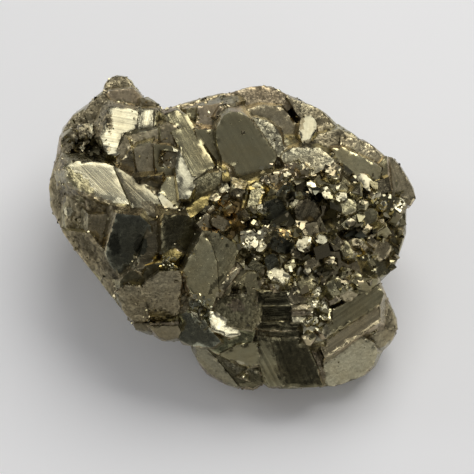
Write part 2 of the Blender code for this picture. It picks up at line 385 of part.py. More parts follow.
def show_direction(du, dv, dw):
    """Return a world direction given on the show face."""
    return du * U_AXIS + dv * V_AXIS + dw * W_AXIS


def dome_fall(share, flatness):
    """Return how much of its drop a dome has made at a share of the way from its top to its foot."""
    return (1.0 - flatness) * share ** 2 + flatness * share ** 4


def dome_rise(u, v):
    """Return how far the show face's dome stands out at (u, v), in millimetres."""
    side_fall = DOME_DROP_SIDES * dome_fall(abs(u) / DOME_HALF_LENGTH, DOME_FLATNESS_SIDES)
    if v > DOME_TOP_V:
        drop, half_width = DOME_DROP_BACK, DOME_HALF_WIDTH_BACK
    else:
        drop, half_width = DOME_DROP_FRONT, DOME_HALF_WIDTH_FRONT
    return DOME_HEIGHT - side_fall - drop * dome_fall(abs(v - DOME_TOP_V) / half_width, DOME_FLATNESS_ENDS)


def new_cube(centre, width):
    """Return a bmesh cube of the given width, in metres."""
    cube = bmesh.new()
    bmesh.ops.create_cube(cube, size=width)
    bmesh.ops.translate(cube, verts=cube.verts, vec=centre)
    return cube


def cleave(crystal, point, normal):
    """Break off what lies beyond a plane and leave one flat face there."""
    normal = normal.normalized()
    if max((vert.co - point).dot(normal) for vert in crystal.verts) < LEAST_CUT * MM:
        return
    geometry = crystal.verts[:] + crystal.edges[:] + crystal.faces[:]
    cut = bmesh.ops.bisect_plane(crystal, geom=geometry, dist=CUT_MERGE * MM, plane_co=point, plane_no=normal,
                                 clear_outer=True)
    rim = [item for item in cut["geom_cut"] if isinstance(item, bmesh.types.BMEdge)]
    if len(rim) > 2:
        bmesh.ops.edgeloop_fill(crystal, edges=rim)


def add_mesh_object(name, shape, collection):
    """Put a bmesh into the scene as an object and return the object."""
    bmesh.ops.recalc_face_normals(shape, faces=shape.faces)
    mesh = bpy.data.meshes.new(name)
    shape.to_mesh(mesh)
    shape.free()
    item = bpy.data.objects.new(name, mesh)
    collection.objects.link(item)
    return item


def hull(corners):
    """Return the corners of the convex outline round some corners, clockwise."""
    return [Vector(corners[i]) for i in convex_hull_2d([Vector(corner) for corner in corners])]


def outline_edges():
    """Return the edges of the cluster's outline, each with its outward direction."""
    corners = [Vector(corner) for corner in OUTLINE]
    edges = []
    for start, end in zip(corners, corners[1:] + corners[:1]):
        along = (end - start).normalized()
        edges.append((start, end, Vector((-along.y, along.x))))
    return edges


def trim_at_rim(crystal, outline):
    """Cleave the sides of a crystal that stands at the cluster's rim, so that they don't fall past it."""
    for start, end, outward in outline_edges():
        if min(distance_to_edge(corner, start, end) for corner in outline) > RIM_REACH:
            continue
        reach = max((corner - start).dot(outward) for corner in outline)
        if reach > -RIM_REACH:
            rim = start + outward * (max(reach, 0.0) + RIM_PLAY)
            cleave(crystal, show_point(rim.x, rim.y, 0.0), show_direction(outward.x, outward.y, 0.0))


def face_plane(rise, lean, corners):
    """Return a crystal face's middle, its level there and its slope along u and v."""
    outline = hull(corners)
    middle = sum(outline, Vector((0.0, 0.0))) / len(outline)
    lean_w = math.sqrt(1.0 - lean[0] ** 2 - lean[1] ** 2)
    return middle, dome_rise(*middle) + rise, Vector((-lean[0] / lean_w, -lean[1] / lean_w))


def side_directions(outline):
    """Return where each side of a crystal starts and which way it faces, with blunt ends at sharp corners."""
    sides = []
    for start, end in zip(outline, outline[1:] + outline[:1]):
        along = (end - start).normalized()
        sides.append((start, Vector((along.y, -along.x))))
    blunt = []
    for (_, before), (corner, after) in zip(sides[-1:] + sides[:-1], sides):
        if before.dot(after) < 0.0:
            blunt.append((corner, (before + after).normalized()))
    return sides + blunt


def show_crystal(rise, lean, steepness, corners, depth=CRYSTAL_DEPTH):
    """Return a crystal whose flat top has these corners and whose sides fall away from them."""
    middle, level, slope = face_plane(rise, lean, corners)
    outline = hull(corners)
    crystal = new_cube(show_point(middle.x, middle.y, level), CRYSTAL_BLANK * MM * SCALE)
    cleave(crystal, show_point(middle.x, middle.y, level), show_direction(-slope.x, -slope.y, 1.0))
    for start, outward in side_directions(outline):
        rim = start + CRYSTAL_OVERLAP * outward
        side = steepness * outward - slope
        cleave(crystal, show_point(rim.x, rim.y, level + slope.dot(rim - middle)),
               show_direction(side.x, side.y, 1.0))
    trim_at_rim(crystal, outline)
    cleave(crystal, show_point(middle.x, middle.y, level - depth), show_direction(0.0, 0.0, -1.0))
    return crystal


def leading_crystal(middle, length, width, turn, lean, rise):
    """Return a crystal of the crust with an oblong face whose corners are cut."""
    bevel = LEADING_BEVEL * width
    half_length, half_width = 0.5 * length, 0.5 * width
    quarter = [(half_length, half_width - bevel), (half_length - bevel, half_width)]
    corners = []
    for side_u, side_v in ((1, 1), (-1, 1), (-1, -1), (1, -1)):
        corners += [Vector((side_u * u, side_v * v)) for u, v in quarter]
    spin = Matrix.Rotation(math.radians(turn), 2)
    placed = [tuple(Vector(middle) + spin @ corner) for corner in corners]
    return show_crystal(rise, lean, LEADING_STEEPNESS, placed, LEADING_DEPTH)


def pyritohedron_directions():
    """Return the directions of a pyritohedron's twelve faces, two to an edge of the cube."""
    directions = []
    for turn in range(3):
        for first, second in ((1, 2), (1, -2), (-1, 2), (-1, -2)):
            faces = [0, first, second]
            directions.append(Vector(faces[turn:] + faces[:turn]).normalized())
    return directions


def loose_crystal(centre, width, rng):
    """Return a cube or a pyritohedron of the given width over its faces, turned at random."""
    crystal = new_cube(Vector((0.0, 0.0, 0.0)), width)
    if rng.random() < PYRITOHEDRON_SHARE:
        reach = width * rng.uniform(*PYRITOHEDRON_REACH)
        for direction in pyritohedron_directions():
            cleave(crystal, direction * reach, direction)
    else:
        for corner in rng.sample(CLEAVED_CORNERS, CLEAVED_COUNT):
            normal = Vector(corner).normalized()
            cleave(crystal, normal * width * rng.uniform(*CLEAVED_REACH), normal)
    turn = Euler([rng.uniform(0.0, math.tau) for _ in range(3)]).to_matrix()
    bmesh.ops.rotate(crystal, verts=crystal.verts, cent=(0.0, 0.0, 0.0), matrix=turn)
    bmesh.ops.translate(crystal, verts=crystal.verts, vec=centre)
    return crystal


def show_coordinates(point):
    """Return a world point of the layout, in millimetres, as (u, v) on the show face."""
    from_middle = point - Vector((0.0, 0.0, SHOW_CENTRE_HEIGHT))
    return Vector((from_middle.dot(U_AXIS), from_middle.dot(V_AXIS)))


def distance_to_edge(point, start, end):
    """Return the distance from a point to an edge between two points."""
    along = end - start
    share = max(0.0, min(1.0, (point - start).dot(along) / along.length_squared))
    return (point - start - share * along).length


def trim_to_outline(crystal, middle, width, inset, rng):
    """Cleave a loose crystal wherever it would reach past the cluster's outline."""
    for start, end, outward in outline_edges():
        if distance_to_edge(middle, start, end) <= width:
            inner = start - outward * rng.uniform(*inset)
            cleave(crystal, show_point(inner.x, inner.y, 0.0), show_direction(outward.x, outward.y, 0.0))


def inside_outline(point, corners):
    """Tell whether a point lies inside a convex outline that runs either way round."""
    turns = [(b - a).cross(point - a) for a, b in zip(corners, corners[1:] + corners[:1])]
    return min(turns) > 0.0 or max(turns) < 0.0


def druse_crystals(collection):
    """Set the leading crystals, then scatter small ones over the beds, keeping neighbours apart."""
    rng = random.Random(DRUSE_SEED)
    placed = []
    for middle, length, width, turn, lean, rise in LEADING_CRYSTALS:
        crystal = leading_crystal(middle, length, width, turn, lean, rise)
        placed.append((Vector(middle), 0.5 * (length + width)))
        add_mesh_object(f"leading_{len(placed)}", crystal, collection)
    for name, rise, lean, _, sizes, corners in DRUSE_BEDS:
        middle, level, slope = face_plane(rise, lean, corners)
        outline = hull(corners)
        columns = [corner.x for corner in outline]
        rows = [corner.y for corner in outline]
        for _ in range(DRUSE_TRIES):
            spot = Vector((rng.uniform(min(columns), max(columns)), rng.uniform(min(rows), max(rows))))
            size = sizes[0] + (sizes[1] - sizes[0]) * rng.random() ** DRUSE_CURVE
            if not inside_outline(spot, outline):
                continue
            if any((spot - other).length < 0.5 * DRUSE_SPACING * (size + width) for other, width in placed):
                continue
            placed.append((spot, size))
            w = level + slope.dot(spot - middle) + rng.uniform(*DRUSE_SINK) * size
            crystal = loose_crystal(show_point(spot.x, spot.y, w), size * MM * SCALE, rng)
            trim_to_outline(crystal, spot, size, DRUSE_INSET, rng)
            add_mesh_object(f"{name}_{len(placed)}", crystal, collection)


def band_corners(span, low, top):
    """Return the corners of a level band across the show face."""
    left, right = span
    return [(left, top), (right, top), (right, low), (left, low)]


def ledge_rows():
    """Return the ledges as rows of the same form as the large crystals."""
    rows = []
    for step, (low, top, rise) in enumerate(LEDGES):
        rows.append((f"ledge_{step}", rise, LEDGE_LEAN, 3, band_corners(LEDGE_SPAN, low, top)))
    for step in range(FINE_LEDGE_COUNT):
        top = FINE_LEDGE_TOP_V - step * FINE_LEDGE_BAND
        lean = FINE_LEDGE_LEANS[step % len(FINE_LEDGE_LEANS)]
        corners = band_corners(FINE_LEDGE_SPAN, top - FINE_LEDGE_BAND, top)
        rows.append((f"fine_ledge_{step}", FINE_LEDGE_RISE, lean, 3, corners))
    return rows


def ground_level(u, v, faces):
    """Return how high the groundmass may stand at (u, v): under every crystal face nearby."""
    here = Vector((u, v))
    levels = []
    for middle, level, slope, outline in faces:
        gap = min(distance_to_edge(here, a, b) for a, b in zip(outline, outline[1:] + outline[:1]))
        if gap < GROUND_REACH or inside_outline(here, outline):
            levels.append(level + slope.dot(here - middle))
    return min(levels, default=dome_rise(u, v)) - GROUND_DEPTH


def well_inside_outline(point, edges):
    """Tell whether a point lies in the cluster's outline, some way in from every edge of it."""
    crossings = 0
    for start, end in edges:
        if (start.y > point.y) != (end.y > point.y):
            share = (point.y - start.y) / (end.y - start.y)
            crossings += point.x < start.x + share * (end.x - start.x)
    return crossings % 2 == 1 and min(distance_to_edge(point, *edge) for edge in edges) > GROUND_INSET


def groundmass(rows):
    """Return the fine-grained ground between the crystals, a plate that dips under each of them."""
    rng = random.Random(GROUND_SEED)
    faces = [(*face_plane(rise, lean, corners), hull(corners)) for rise, lean, corners in rows]
    edges = [(start, end) for start, end, _ in outline_edges()]
    ground = bmesh.new()
    count = round(LAYOUT_LENGTH / GROUND_SPACING)
    half_width = 0.5 * count * GROUND_SPACING
    bmesh.ops.create_grid(ground, x_segments=count, y_segments=count, size=half_width)
    outside = []
    for vert in ground.verts:
        u = vert.co.x + rng.uniform(-GROUND_JITTER, GROUND_JITTER)
        v = vert.co.y + rng.uniform(-GROUND_JITTER, GROUND_JITTER)
        if not well_inside_outline(Vector((u, v)), edges):
            outside.append(vert)
        vert.co = show_point(u, v, ground_level(u, v, faces))
    bmesh.ops.delete(ground, geom=outside, context="VERTS")
    loose = [vert for vert in ground.verts if not vert.link_faces]
    bmesh.ops.delete(ground, geom=loose, context="VERTS")
    bmesh.ops.triangulate(ground, faces=ground.faces)
    raised = bmesh.ops.extrude_face_region(ground, geom=ground.faces[:], use_keep_orig=True)
    lowered = [item for item in raised["geom"] if isinstance(item, bmesh.types.BMVert)]
    bmesh.ops.translate(ground, verts=lowered, vec=-W_AXIS * GROUND_THICKNESS * MM * SCALE)
    return ground


def pit_cutters(collection):
    """Add the crystal-shaped pits and the slot to the cutters."""
    rng = random.Random(PIT_SEED)
    for index, ((u, v), rise, width) in enumerate(PITS):
        centre = show_point(u, v, dome_rise(u, v) + rise)
        add_mesh_object(f"pit_{index}", loose_crystal(centre, width * MM * SCALE, rng), collection)
    slot = new_cube(Vector((0.0, 0.0, 0.0)), MM * SCALE)
    bmesh.ops.scale(slot, verts=slot.verts, vec=SLOT_SIZE)
    show_axes = Matrix((U_AXIS, V_AXIS, W_AXIS)).transposed()
    bmesh.ops.rotate(slot, verts=slot.verts, cent=(0.0, 0.0, 0.0), matrix=show_axes)
    bmesh.ops.translate(slot, verts=slot.verts, vec=show_point(*SLOT_MIDDLE, dome_rise(*SLOT_MIDDLE)))
    add_mesh_object("slot", slot, collection)


def core_lump(centre, half_sizes):
    """Return a rounded lump of the hidden core."""
    lump = bmesh.new()
    bmesh.ops.create_icosphere(lump, subdivisions=1, radius=1.0)
    bmesh.ops.scale(lump, verts=lump.verts, vec=Vector(half_sizes) * MM * SCALE)
    bmesh.ops.translate(lump, verts=lump.verts, vec=Vector(centre) * MM * SCALE)
    return lump


def pyrite_material():
    """Return the brassy metallic material of the crystals."""
    material = bpy.data.materials.new("pyrite")
    material.use_nodes = True
    shader = material.node_tree.nodes["Principled BSDF"]
    shader.inputs["Base Color"].default_value = (0.42, 0.38, 0.28, 1.0)
    shader.inputs["Metallic"].default_value = 1.0
    shader.inputs["Roughness"].default_value = 0.28
    return material


def hide_as_cutter(item):
    """Keep a helper out of the model itself."""
    item.hide_render = True
    item.display_type = "WIRE"


def clear_scene():
    """Remove whatever the scene holds."""
    for item in list(bpy.data.objects):
        bpy.data.objects.remove(item, do_unlink=True)


def add_collection(name):
    """Return a new collection in the scene."""
    collection = bpy.data.collections.new(name)
    bpy.context.scene.collection.children.link(collection)
    return collection


def face_islands(shape):
    """Return the faces of a bmesh in lists, one for each connected skin."""
    waiting = set(shape.faces)
    islands = []
    while waiting:
        edge_of_walk = [waiting.pop()]
        island = []
        while edge_of_walk:
            face = edge_of_walk.pop()
            island.append(face)
            for edge in face.edges:
                for neighbour in edge.link_faces:
                    if neighbour in waiting:
                        waiting.remove(neighbour)
                        edge_of_walk.append(neighbour)
        islands.append(island)
    return islands


def fill_cavities(item):
    """Apply an object's modifiers and keep only its outer skin, so that no gap stays sealed inside."""
    depsgraph = bpy.context.evaluated_depsgraph_get()
    mesh = bpy.data.meshes.new_from_object(item.evaluated_get(depsgraph))
    item.modifiers.clear()
    item.data = mesh
    skin = bmesh.new()
    skin.from_mesh(mesh)
    islands = sorted(face_islands(skin), key=len, reverse=True)
    inner = [face for island in islands[1:] for face in island]
    bmesh.ops.delete(skin, geom=inner, context="FACES")
    bmesh.ops.dissolve_limit(skin, angle_limit=FLAT_ANGLE, verts=skin.verts, edges=skin.edges)
    skin.to_mesh(mesh)
    skin.free()


def build_cluster():
    """Build the cluster as one object: the crystals joined, the gaps inside filled and the base sawn."""
    clear_scene()
    model = add_collection("pyrite_crystal_cluster")
    grown = add_collection("grown_crystals")
    cutters = add_collection("cutters")

    for index, (centre, half_sizes) in enumerate(CORE_LUMPS[1:]):
        add_mesh_object(f"core_{index}", core_lump(centre, half_sizes), grown)
    large = LEFT_LOBE + VALLEY + DOME + FRONT + ledge_rows()
    for name, rise, lean, steepness, corners in large:
        add_mesh_object(name, show_crystal(rise, lean, steepness, corners), grown)
    for name, rise, lean, steepness, _, corners in DRUSE_BEDS:
        add_mesh_object(name, show_crystal(rise, lean, steepness, corners), grown)
    held = [(rise, lean, corners) for _, rise, lean, _, corners in large]
    held += [(rise, lean, corners) for _, rise, lean, _, _, corners in DRUSE_BEDS]
    add_mesh_object("groundmass", groundmass(held), grown)
    flank_rng = random.Random(FLANK_SEED)
    for index, (centre, width) in enumerate(FLANK_CRYSTALS):
        crystal = loose_crystal(Vector(centre) * MM * SCALE, width * MM * SCALE, flank_rng)
        trim_to_outline(crystal, show_coordinates(Vector(centre)), width, TRIM_INSET, flank_rng)
        add_mesh_object(f"flank_{index}", crystal, grown)
    druse_crystals(grown)
    for item in grown.objects:
        hide_as_cutter(item)

    cluster = add_mesh_object("pyrite_crystal_cluster", core_lump(*CORE_LUMPS[0]), model)
    cluster.data.materials.append(pyrite_material())
    union = cluster.modifiers.new("grown together", "BOOLEAN")
    union.operation = "UNION"
    union.operand_type = "COLLECTION"
    union.collection = grown

    slab = new_cube(Vector((0.0, 0.0, -0.5 * SAW_WIDTH)) * MM * SCALE, SAW_WIDTH * MM * SCALE)
    add_mesh_object("base_saw", slab, cutters)
    pit_cutters(cutters)
    for item in cutters.objects:
        hide_as_cutter(item)
    cut = cluster.modifiers.new("pits and flat base", "BOOLEAN")
    cut.operation = "DIFFERENCE"
    cut.operand_type = "COLLECTION"
    cut.collection = cutters
    fill_cavities(cluster)


build_cluster()
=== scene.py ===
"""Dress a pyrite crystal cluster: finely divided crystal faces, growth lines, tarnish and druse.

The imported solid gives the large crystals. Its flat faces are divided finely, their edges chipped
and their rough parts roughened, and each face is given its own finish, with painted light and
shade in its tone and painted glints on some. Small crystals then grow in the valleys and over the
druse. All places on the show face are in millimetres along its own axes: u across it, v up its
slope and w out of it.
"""
import math
import random

import bmesh
import bpy
import numpy as np
from mathutils import Euler, Matrix, Vector, noise
from mathutils.bvhtree import BVHTree
from mathutils.geometry import delaunay_2d_cdt
from mathutils.kdtree import KDTree


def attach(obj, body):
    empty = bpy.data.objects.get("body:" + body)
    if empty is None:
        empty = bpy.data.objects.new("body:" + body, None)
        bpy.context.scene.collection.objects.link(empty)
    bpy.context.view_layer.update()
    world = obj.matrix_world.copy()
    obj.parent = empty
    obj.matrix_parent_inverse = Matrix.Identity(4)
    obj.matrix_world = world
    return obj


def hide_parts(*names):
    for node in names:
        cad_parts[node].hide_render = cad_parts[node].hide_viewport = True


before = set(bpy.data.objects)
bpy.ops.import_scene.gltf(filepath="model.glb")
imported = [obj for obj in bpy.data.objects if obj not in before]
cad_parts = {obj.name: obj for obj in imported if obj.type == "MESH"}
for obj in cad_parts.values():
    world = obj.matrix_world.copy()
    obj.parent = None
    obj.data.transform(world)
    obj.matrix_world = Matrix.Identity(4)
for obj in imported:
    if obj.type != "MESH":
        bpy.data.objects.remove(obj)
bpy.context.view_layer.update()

NODE = "pyrite_crystal_cluster"
MM = 0.001

# The show face: its normal's elevation, its middle above the floor, and its axes.
SHOW_LEAN = math.radians(58.0)
SHOW_CENTRE = Vector((0.0, 0.0, 14.0)) * MM
U_AXIS = Vector((1.0, 0.0, 0.0))
V_AXIS = Vector((0.0, math.sin(SHOW_LEAN), math.cos(SHOW_LEAN)))
W_AXIS = Vector((0.0, -math.cos(SHOW_LEAN), math.sin(SHOW_LEAN)))
SHOW_AXES = np.array([U_AXIS, V_AXIS, W_AXIS])

# Dividing the crystal faces, in millimetres.
FLAT_ANGLE = math.radians(0.25)
FINE_SPACING = 0.40
COARSE_SPACING = 0.62
COARSE_BELOW = 9.0  # height under which the divisions grow coarser
SPACING_CHANGE = 6.0  # how much further down they are coarsest
GRID_JITTER = 0.16  # of the points inside a face, as a share of their spacing
EDGE_CLEARANCE = 0.55  # of those points from its edges, as a share of their spacing
DIVIDING_SEED = 4
CREASE_ANGLE = math.radians(9.0)
CREASE_STEP = 0.12
SHARP_ANGLE = math.radians(38.0)  # from which on an edge of the divided surface is shaded sharp

# Wear and growth relief, in millimetres.
EDGE_ROUNDING = 0.38  # how far an edge moves to its neighbours' mean, as a share
EDGE_HALF_WIDTH = 0.6 * CREASE_STEP
CHIP_REACH = 0.8
CHIP_SIZE = 0.9
CHIP_DEPTH = 0.44
CHIP_LEVEL = 0.12  # of the noise, above which an edge is chipped
CHIP_GRAIN = 0.35  # how much more a coarse edge chips
GRAIN_SIZE = 1.3
GRAIN_DEPTH = 0.20
GRAIN_LEVEL = 0.25  # of the noise, at which coarse crystal keeps its place
CROWN_SIZE = 4.5
CROWN_DEPTH = 0.11
VALLEY_REACH = 0.8
EDGE_REACH = 0.35

ABOVE_W = 60.0  # above the whole show face
DRUSE_LEAST_W = -4.0  # below this height over the show face's middle nothing is druse
LINED_AREA = 2.5  # square millimetres, from which on a face shows growth lines
BED_AREA = 5.0  # from which on a face of the druse is the bed of its crystals
BED_TONE = 0.68  # the most that such a bed's tone is
FACET_GRAIN = 0.38  # of the single faces of the druse, which glitter
FINISH_SEED = 1000
DRUSE_SEED = 77


def show_vector(u, v, w):
    """Return a world direction given on the show face."""
    return u * U_AXIS + v * V_AXIS + w * W_AXIS


def show_point(u, v, w):
    """Return a world position in metres given in millimetres on the show face."""
    return SHOW_CENTRE + show_vector(u, v, w) * MM


def show_coordinates(points):
    """Return an array of world positions as (u, v, w) in millimetres on the show face."""
    return (points - np.array(SHOW_CENTRE)) @ SHOW_AXES.T / MM


# ---- Finishes and painted light of the single crystal faces ------

# Tints of the tarnish film, as multipliers of the fresh colour. PALE is a painted highlight colour,
# the whiter look of bright reflections, for the faces that glint.
FRESH = (1.00, 1.00, 1.00)
PALE = (0.99, 1.01, 1.06)
OLIVE = (1.00, 0.99, 0.88)
BROWN = (1.03, 0.97, 0.92)
ROSE = (1.07, 0.97, 0.96)
GOLD = (1.18, 1.02, 0.58)
AMBER = (1.20, 0.93, 0.60)
SLATE = (0.88, 0.97, 1.06)
MOSS = (0.93, 1.01, 0.88)

# Faces without a name of their own.
PLAIN_TONES = (0.78, 1.02)
PLAIN_TINTS = (BROWN, BROWN, OLIVE, FRESH, ROSE)
PLAIN_GRAIN = (0.08, 0.9)
PLAIN_GRAIN_SIZE = 7.0  # of the noise that their grain follows, in millimetres
PLAIN_GRAIN_SPREAD = 0.9  # of their grain about a half
PLAIN_LINES = (0.2, 0.8)  # strength of their growth lines
BED_TINTS = (BROWN, OLIVE)
DRUSE_GRAIN = (0.0, 0.25)

# Each named face: where it is in (u, v), tone, tint and grain from smooth to rough. The tone is
# partly the face's tarnish and partly painted light and shade, set higher on faces that reflect
# little of the lamps and lower on those that reflect much. Where it has growth lines, their
# direction in degrees from u towards v and their strength follow.
FACE_FINISHES_AND_PAINTED_LIGHT = {
    "knob": ((-18.0, 23.2), 0.79, BROWN, 0.85),
    "knob_face": ((-17.0, 20.8), 1.07, ROSE, 0.35),
    "knob_cap": ((-12.5, 19.6), 0.75, BROWN, 0.50),
    "bright_face": ((-17.0, 16.8), 0.84, PALE, 0.02, -12, 1.0),
    "strip_light": ((-13.6, 17.5), 1.17, PALE, 0.02, 84, 0.6),
    "strip_dark": ((-11.8, 17.3), 0.90, OLIVE, 0.05, 80, 0.9),
    "rough_upper": ((-20.8, 18.0), 0.85, BROWN, 0.90),
    "rough_side": ((-24.3, 16.8), 1.07, BROWN, 0.80),
    # arch_foot and arch_back: tone raised to 1.70, painted light on faces that reflect little of
    # the lamps.
    "arch_foot": ((-17.2, 12.8), 1.70, BROWN, 0.35),
    "arch_back": ((-13.8, 14.9), 1.70, BROWN, 0.50),
    "cave_block": ((-13.2, 11.3), 1.16, BROWN, 0.25, 70, 0.3),
    "cave_side": ((-16.0, 10.5), 1.01, BROWN, 0.20, 0, 0.8),
    "cave_foot": ((-13.0, 8.0), 0.53, BROWN, 0.20, 0, 0.3),
    "cave_wall": ((-9.6, 11.0), 0.57, BROWN, 0.20, 70, 0.3),
    "pale_left": ((-21.0, 8.8), 0.97, PALE, 0.02, -50, 0.4),
    "pale_right": ((-13.8, 5.6), 0.59, FRESH, 0.02, -50, 0.7),
    "sliver": ((-10.6, 5.2), 0.51, PALE, 0.02, -46, 0.2),
    "grey_face": ((-9.6, 7.0), 1.08, OLIVE, 0.10, 60, 0.3),
    "flank_upper": ((-26.8, 7.0), 0.60, BROWN, 0.90),
    "flank_middle": ((-24.2, 3.5), 1.09, BROWN, 0.90),
    "flank_dark": ((-20.8, 4.4), 0.67, BROWN, 0.80),
    "flank_lower": ((-20.5, -3.5), 0.74, BROWN, 0.90, -50, 0.4),
    "brown_face": ((-20.0, 1.2), 0.95, BROWN, 0.20, 80, 0.5),
    "blue_face": ((-16.0, -1.5), 0.69, SLATE, 0.05, 80, 0.1),
    "strip_brown": ((-12.0, -0.5), 0.43, BROWN, 0.10, 5, 1.0),
    "black_face": ((-8.2, 0.0), 0.36, OLIVE, 0.15, 5, 0.8),
    "gold_nub": ((-9.6, -2.6), 0.27, GOLD, 0.30),
    "dark_band": ((-14.8, -6.0), 0.44, OLIVE, 0.40, 20, 0.3),
    "red_face": ((-11.0, -9.0), 0.66, BROWN, 0.70),
    "red_side": ((-15.4, -9.8), 0.66, BROWN, 0.80),
    "slot_block": ((-10.6, -14.2), 0.43, BROWN, 0.20, 0, 0.2),
    "slot_side": ((-14.0, -13.4), 0.32, BROWN, 0.30, 0, 0.2),
    "top_edge": ((-6.5, 19.5), 0.96, BROWN, 0.50),
    "long_grey": ((-6.6, 13.6), 0.87, OLIVE, 0.06, -62, 0.4),
    "bright_slope": ((-7.6, 9.0), 0.68, PALE, 0.02, -58, 0.3),
    "valley_rough": ((-6.3, 18.3), 0.80, BROWN, 0.80),
    "upper_brown": ((-4.2, 18.0), 1.23, ROSE, 0.30, 80, 0.3),
    "upper_olive": ((-3.6, 13.6), 0.78, OLIVE, 0.15, -60, 0.5),
    "gold_wedge": ((-4.5, 5.6), 0.56, GOLD, 0.10, 30, 0.6),
    "olive_arch": ((-4.0, 7.6), 0.83, OLIVE, 0.20, 30, 0.5),
    "olive_box": ((-1.6, 9.4), 0.48, GOLD, 0.15, 80, 0.4),
    "oval": ((1.2, 12.8), 0.91, OLIVE, 0.06, -60, 0.3),
    "oval_strip": ((4.6, 15.2), 0.78, FRESH, 0.45, -55, 0.5),
    "oval_left": ((-2.6, 19.2), 0.72, ROSE, 0.30),
    "dark_dome": ((7.2, 17.0), 1.03, BROWN, 0.20, -60, 0.3),
    "bright_lens": ((10.5, 16.2), 0.58, PALE, 0.05, 80, 0.3),
    "top_brown": ((4.0, 20.6), 0.73, ROSE, 0.35),
    "right_top": ((12.2, 17.6), 0.72, BROWN, 0.35),
    "right_ridge": ((14.0, 14.8), 0.49, BROWN, 0.35),
    "right_shoulder": ((18.8, 13.0), 1.42, BROWN, 0.40),
    "right_slope": ((17.8, 10.9), 1.36, OLIVE, 0.25, -40, 0.3),
    "pale_flat": ((11.0, 11.6), 0.93, FRESH, 0.30, -20, 0.2),
    "pale_foot": ((8.5, 9.8), 0.85, ROSE, 0.40),
    # Tone raised to 1.70: painted light on a face that reflects little of the lamps.
    "right_block": ((24.6, 8.0), 1.70, BROWN, 0.20, -68, 0.8),
    "right_bars": ((21.8, 9.3), 0.77, OLIVE, 0.12, -75, 0.9),
    "small_pale": ((19.0, 8.3), 0.76, PALE, 0.05),
    "druse_block": ((10.4, 3.8), 0.41, BROWN, 0.10, 78, 1.0),
    "druse_steps": ((14.2, 1.2), 0.50, OLIVE, 0.10, 12, 1.0),
    "big_face": ((-5.2, -5.0), 1.29, OLIVE, 0.15, 60, 0.3),
    "mid_mass": ((-1.6, -3.0), 0.79, OLIVE, 0.25, 58, 0.8),
    "fan_ridge_low": ((-1.2, -6.4), 0.94, BROWN, 0.15, 58, 0.9),
    "fan_ridge_high": ((0.0, -6.4), 0.59, OLIVE, 0.15, 58, 0.9),
    "low_block": ((2.0, -6.6), 0.78, OLIVE, 0.15, 85, 0.5),
    "low_ground": ((0.5, -11.3), 0.56, OLIVE, 0.70),
    "crescent": ((-1.2, -14.1), 1.58, PALE, 0.00),
    "dark_cleft": ((-7.8, -8.0), 0.50, BROWN, 0.30, 60, 0.4),
    "blue_side": ((-5.8, -14.0), 1.02, SLATE, 0.05, -68, 0.2),
    "green_under": ((0.0, -15.3), 0.69, MOSS, 0.15, 10, 0.3),
    "foot_left": ((-3.0, -19.4), 0.55, FRESH, 0.30, -45, 0.4),
    "foot_streak": ((0.8, -20.0), 0.34, OLIVE, 0.10, -40, 1.0),
    "foot_pale": ((1.2, -17.6), 0.47, OLIVE, 0.10, 20, 0.2),
    "striated_band": ((4.6, -18.5), 0.51, OLIVE, 0.05, -72, 1.0),
    "striated_block": ((8.6, -18.8), 0.37, OLIVE, 0.05, -68, 1.0),
    "gap_face": ((12.2, -18.0), 0.35, BROWN, 0.30, -68, 0.6),
    "ledge_0": ((6.0, -9.1), 0.15, OLIVE, 0.05, 2, 1.0),
    "ledge_1": ((6.0, -11.4), 0.10, OLIVE, 0.05, 2, 1.0),
    "ledge_2": ((6.0, -13.2), 0.19, OLIVE, 0.05, 2, 1.0),
    "ledge_3": ((6.0, -14.4), 0.23, OLIVE, 0.05, 2, 1.0),
    "block_roof": ((18.0, -9.8), 0.78, OLIVE, 0.15, 34, 0.8),
    "block_top": ((17.2, -13.0), 1.07, BROWN, 0.05, 34, 1.0),
    "block_front": ((16.6, -18.5), 0.97, FRESH, 0.30, 40, 0.3),
    "block_end": ((22.4, -11.5), 1.08, BROWN, 0.45),
    "block_heel": ((22.4, -15.0), 0.78, BROWN, 0.45),
    # Tone raised to 1.70: painted light on a face that reflects little of the lamps.
    "pale_lower": ((18.0, -7.8), 1.70, OLIVE, 0.25, 34, 0.6),
}
